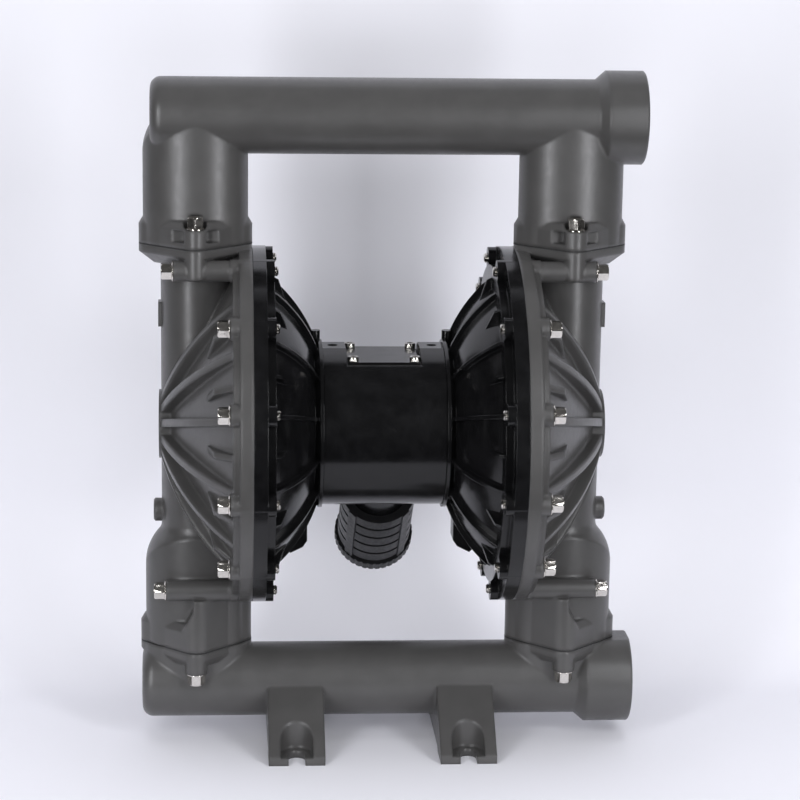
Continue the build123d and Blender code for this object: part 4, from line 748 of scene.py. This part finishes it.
class PUMP_OT_diaphragms(bpy.types.Operator):
    """Build the moulded diaphragms, held at the rim and carried by the rod in the middle"""
    bl_idname = "pump.diaphragms"
    bl_label = "Build the diaphragms"

    def execute(self, context):
        """One bending object for each diaphragm."""
        sizes = context.scene.pump_diaphragms
        count = context.scene.pump_fasteners.steps * 2
        material = rubber(context.scene.pump_finish)
        for side, node in ((-1, "diaphragm_left"), (1, "diaphragm_right")):
            middle = Vector((side * sizes.plane, 0, sizes.axis_height))
            builder = bmesh.new()
            place = seat_matrix(middle, (side, 0, 0))
            loops = [ring(builder, place, circle_points(r, h, count)) for r, h in self.section(sizes)]
            for low, high in zip(loops, loops[1:] + loops[:1]):
                bridge(builder, low, high)
            moulded = new_object(node + "_moulded", builder)
            moulded.data.materials.append(material)
            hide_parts(node)
            self.bend(moulded, middle, sizes)
        return {"FINISHED"}

    @staticmethod
    def section(sizes):
        """Closed (radius, height) outline: flat sheet, moulded wave, thick bead with rounded corners."""
        wave = []
        for i in range(WAVE_STEPS + 1):
            share = i / WAVE_STEPS
            wave.append((sizes.wave_in + share * (sizes.wave_out - sizes.wave_in),
                         sizes.wave_height * 4 * share * (1 - share)))
        under = [(sizes.hole, -sizes.sheet)] + [(r, h - sizes.sheet) for r, h in wave]
        corner = BEAD_CORNER
        rim = [(sizes.bead_in, -sizes.sheet), (sizes.bead_in + corner, -sizes.bead),
               (sizes.bead_out - corner, -sizes.bead), (sizes.bead_out, corner - sizes.bead),
               (sizes.bead_out, sizes.bead - corner), (sizes.bead_out - corner, sizes.bead),
               (sizes.bead_in + corner, sizes.bead), (sizes.bead_in, sizes.sheet)]
        over = [(r, h + sizes.sheet) for r, h in reversed(wave)] + [(sizes.hole, sizes.sheet)]
        return under + rim + over

    @staticmethod
    def bend(moulded, middle, sizes):
        """The rim stays with the pump and the middle follows the rod, graded outward from the axis."""
        rim = middle + Vector((0, 0, sizes.wave_out))
        plate = middle + Vector((0, 0, sizes.wave_in))
        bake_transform(moulded, "pump", "shaft", start=rim, end=plate)
        weights = moulded.data.attributes["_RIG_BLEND"].data
        for vertex in moulded.data.vertices:
            radius = (vertex.co - middle).length
            share = min(1.0, max(0.0, (sizes.wave_out - radius) / (sizes.wave_out - sizes.wave_in)))
            weights[vertex.index].value = share * share * (3 - 2 * share)


class PUMP_OT_threads(bpy.types.Operator):
    """Build the pipe threads inside the ports"""
    bl_idname = "pump.threads"
    bl_label = "Build the pipe threads"

    def execute(self, context):
        """A helical ridge standing in from each port's wall."""
        count = context.scene.pump_fasteners.steps * 2
        material = grey_coating(context.scene.pump_finish)
        for name, port in PORTS.items():
            builder = bmesh.new()
            self.ridge(builder, seat_matrix(port.mouth, port.axis), port, count)
            thread = new_object(name, builder)
            thread.data.materials.append(material)
            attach(thread, PUMP)
        return {"FINISHED"}

    @staticmethod
    def ridge(builder, place, port, count):
        """Sweeps a small flat-topped section along a helix, run out at both ends."""
        depth = RIDGE_DEPTH * port.pitch
        foot = port.bore + RIDGE_SINK
        foot_half = RIDGE_FOOT * port.pitch
        crest_half = RIDGE_CREST * port.pitch
        steps = int(port.length / port.pitch * count)
        rings = []
        for i in range(steps + 1):
            angle = 2 * pi * i / count
            height = -RIDGE_START - port.pitch * i / count
            crest = port.bore - (min(1.0, i / count, (steps - i) / count) * depth + RIDGE_LEAST)
            section = ((foot, foot_half), (crest, crest_half), (crest, -crest_half), (foot, -foot_half))
            rings.append(ring(builder, place, [
                (radius * cos(angle), radius * sin(angle), height + up) for radius, up in section]))
        for low, high in zip(rings, rings[1:]):
            bridge(builder, low, high)
        builder.faces.new(rings[0])
        builder.faces.new(rings[-1])


class PUMP_OT_studio(bpy.types.Operator):
    """Set up the paper backdrop, the lights and the camera"""
    bl_idname = "pump.studio"
    bl_label = "Set up the studio"

    def execute(self, context):
        """Stage, world, lights and camera."""
        studio = context.scene.pump_studio
        self.backdrop(studio)
        self.world(context.scene, studio)
        self.lights(studio)
        self.camera(context.scene, studio)
        context.scene.view_settings.view_transform = "Standard"
        return {"FINISHED"}

    @staticmethod
    def backdrop(studio):
        """Paper that lies on the floor and rises behind the pump in one curve."""
        builder = bmesh.new()
        bend = studio.bend
        outline = [(PAPER_FRONT, 0.0), (PAPER_FLAT, 0.0)]
        for i in range(BEND_STEPS + 1):
            angle = pi / 2 * i / BEND_STEPS
            outline.append((studio.wall - bend + bend * sin(angle), bend - bend * cos(angle)))
        outline.append((studio.wall, PAPER_HEIGHT))
        rows = [[builder.verts.new((x, y, z)) for x in (-PAPER_HALF_WIDTH, PAPER_HALF_WIDTH)]
                for y, z in outline]
        for low, high in zip(rows, rows[1:]):
            face = builder.faces.new((low[0], low[1], high[1], high[0]))
            face.smooth = True
        sweep = new_object("backdrop", builder)
        if sweep.data.polygons[0].normal.z < 0:
            sweep.data.flip_normals()
        sweep.data.materials.append(paper(studio))

    @staticmethod
    def world(scene, studio):
        """Light from all round, dimmer from below and in shiny surfaces, and pale to the camera."""
        world = bpy.data.worlds.new("studio")
        world.use_nodes = True
        tree = world.node_tree
        background = tree.nodes["Background"]
        background.inputs["Color"].default_value = SURROUNDINGS
        place = tree.nodes.new("ShaderNodeTexCoord")
        split = tree.nodes.new("ShaderNodeSeparateXYZ")
        height = tree.nodes.new("ShaderNodeMapRange")
        height.inputs["From Min"].default_value = -HORIZON
        height.inputs["From Max"].default_value = HORIZON
        height.inputs["To Min"].default_value = studio.fill * studio.below
        height.inputs["To Max"].default_value = studio.fill
        rays = tree.nodes.new("ShaderNodeLightPath")
        share = tree.nodes.new("ShaderNodeMapRange")
        share.inputs["To Min"].default_value = 1.0
        share.inputs["To Max"].default_value = studio.mirrored
        strength = tree.nodes.new("ShaderNodeMath")
        strength.operation = "MULTIPLY"
        tree.links.new(place.outputs["Generated"], split.inputs["Vector"])
        tree.links.new(split.outputs["Z"], height.inputs["Value"])
        tree.links.new(rays.outputs["Is Glossy Ray"], share.inputs["Value"])
        tree.links.new(height.outputs["Result"], strength.inputs[0])
        tree.links.new(share.outputs["Result"], strength.inputs[1])
        seen = tree.nodes.new("ShaderNodeMix")
        seen.inputs["B"].default_value = studio.seen
        tree.links.new(rays.outputs["Is Camera Ray"], seen.inputs["Factor"])
        tree.links.new(strength.outputs["Value"], seen.inputs["A"])
        tree.links.new(seen.outputs["Result"], background.inputs["Strength"])
        scene.world = world

    @staticmethod
    def lamp(name, power, place, width, height, aim=PUMP_MIDDLE, mirrored=False):
        """A rectangular light at place that faces aim, seen or not seen in shiny surfaces."""
        data = bpy.data.lights.new(name, "AREA")
        data.shape = "RECTANGLE"
        data.size = width
        data.size_y = height
        data.energy = power
        data.color = LAMP_COLOUR
        light = bpy.data.objects.new(name, data)
        light.location = place
        light.rotation_euler = (Vector(aim) - Vector(place)).to_track_quat("-Z", "Y").to_euler()
        light.visible_glossy = mirrored
        light.visible_camera = False
        bpy.context.scene.collection.objects.link(light)

    def lights(self, studio):
        """Two front softboxes that show as bright bands, and soft lights that don't."""
        for name, side in (("left_softbox", -1), ("right_softbox", 1)):
            self.lamp(name, studio.key, (side * 0.95, -1.5, 0.75), width=0.3, height=1.5, mirrored=True)
        self.lamp("top_softbox", studio.top, (0, -0.35, 2.2), width=1.6, height=0.9)
        self.lamp("low_fill", studio.low, (0, -2.4, 0.45), width=0.8, height=0.6)
        self.lamp("backdrop_light", studio.glow, (0, 0.07, 0.1), width=0.36, height=0.05,
                  aim=(0, 0.4, 0.2))

    @staticmethod
    def camera(scene, studio):
        """Camera at its place, level turned by yaw, pitch and roll."""
        data = bpy.data.cameras.new("camera")
        data.lens = studio.lens
        data.sensor_width = 36.0
        data.dof.use_dof = False
        camera = bpy.data.objects.new("camera", data)
        forward = Vector((sin(studio.yaw) * cos(studio.pitch), cos(studio.yaw) * cos(studio.pitch),
                          -sin(studio.pitch)))
        right = Vector((cos(studio.yaw), -sin(studio.yaw), 0))
        down = forward.cross(right)
        rolled_right = cos(studio.roll) * right + sin(studio.roll) * down
        rolled_up = sin(studio.roll) * right - cos(studio.roll) * down
        turn = Matrix((rolled_right, rolled_up, -forward)).transposed()
        camera.matrix_world = Matrix.Translation(studio.place) @ turn.to_4x4()
        scene.collection.objects.link(camera)
        scene.camera = camera


class PUMP_PT_panel(bpy.types.Panel):
    """Sidebar list of the pump's pieces"""
    bl_idname = "PUMP_PT_panel"
    bl_label = "Diaphragm pump"
    bl_space_type = "VIEW_3D"
    bl_region_type = "UI"
    bl_category = "Pump"

    def draw(self, context):
        """A button for each operator."""
        for operator in OPERATORS:
            self.layout.operator(operator.bl_idname)


OPERATORS = (PUMP_OT_finishes, PUMP_OT_bolts, PUMP_OT_screws, PUMP_OT_diaphragms, PUMP_OT_threads,
             PUMP_OT_studio)
SETTINGS = (("pump_finish", PumpFinish), ("pump_fasteners", PumpFasteners),
            ("pump_diaphragms", PumpDiaphragms), ("pump_studio", PumpStudio))
CLASSES = (*(group for name, group in SETTINGS), *OPERATORS, PUMP_PT_panel)


def register():
    """Adds the classes and the scene's settings."""
    for cls in CLASSES:
        bpy.utils.register_class(cls)
    for name, group in SETTINGS:
        setattr(bpy.types.Scene, name, PointerProperty(type=group))


def unregister():
    """Removes the classes and the scene's settings."""
    for name, group in SETTINGS:
        delattr(bpy.types.Scene, name)
    for cls in reversed(CLASSES):
        bpy.utils.unregister_class(cls)


def main():
    """Builds every piece in order."""
    register()
    bpy.ops.pump.finishes()
    bpy.ops.pump.bolts()
    bpy.ops.pump.screws()
    bpy.ops.pump.diaphragms()
    bpy.ops.pump.threads()
    bpy.ops.pump.studio()


if __name__ == "__main__":
    main()
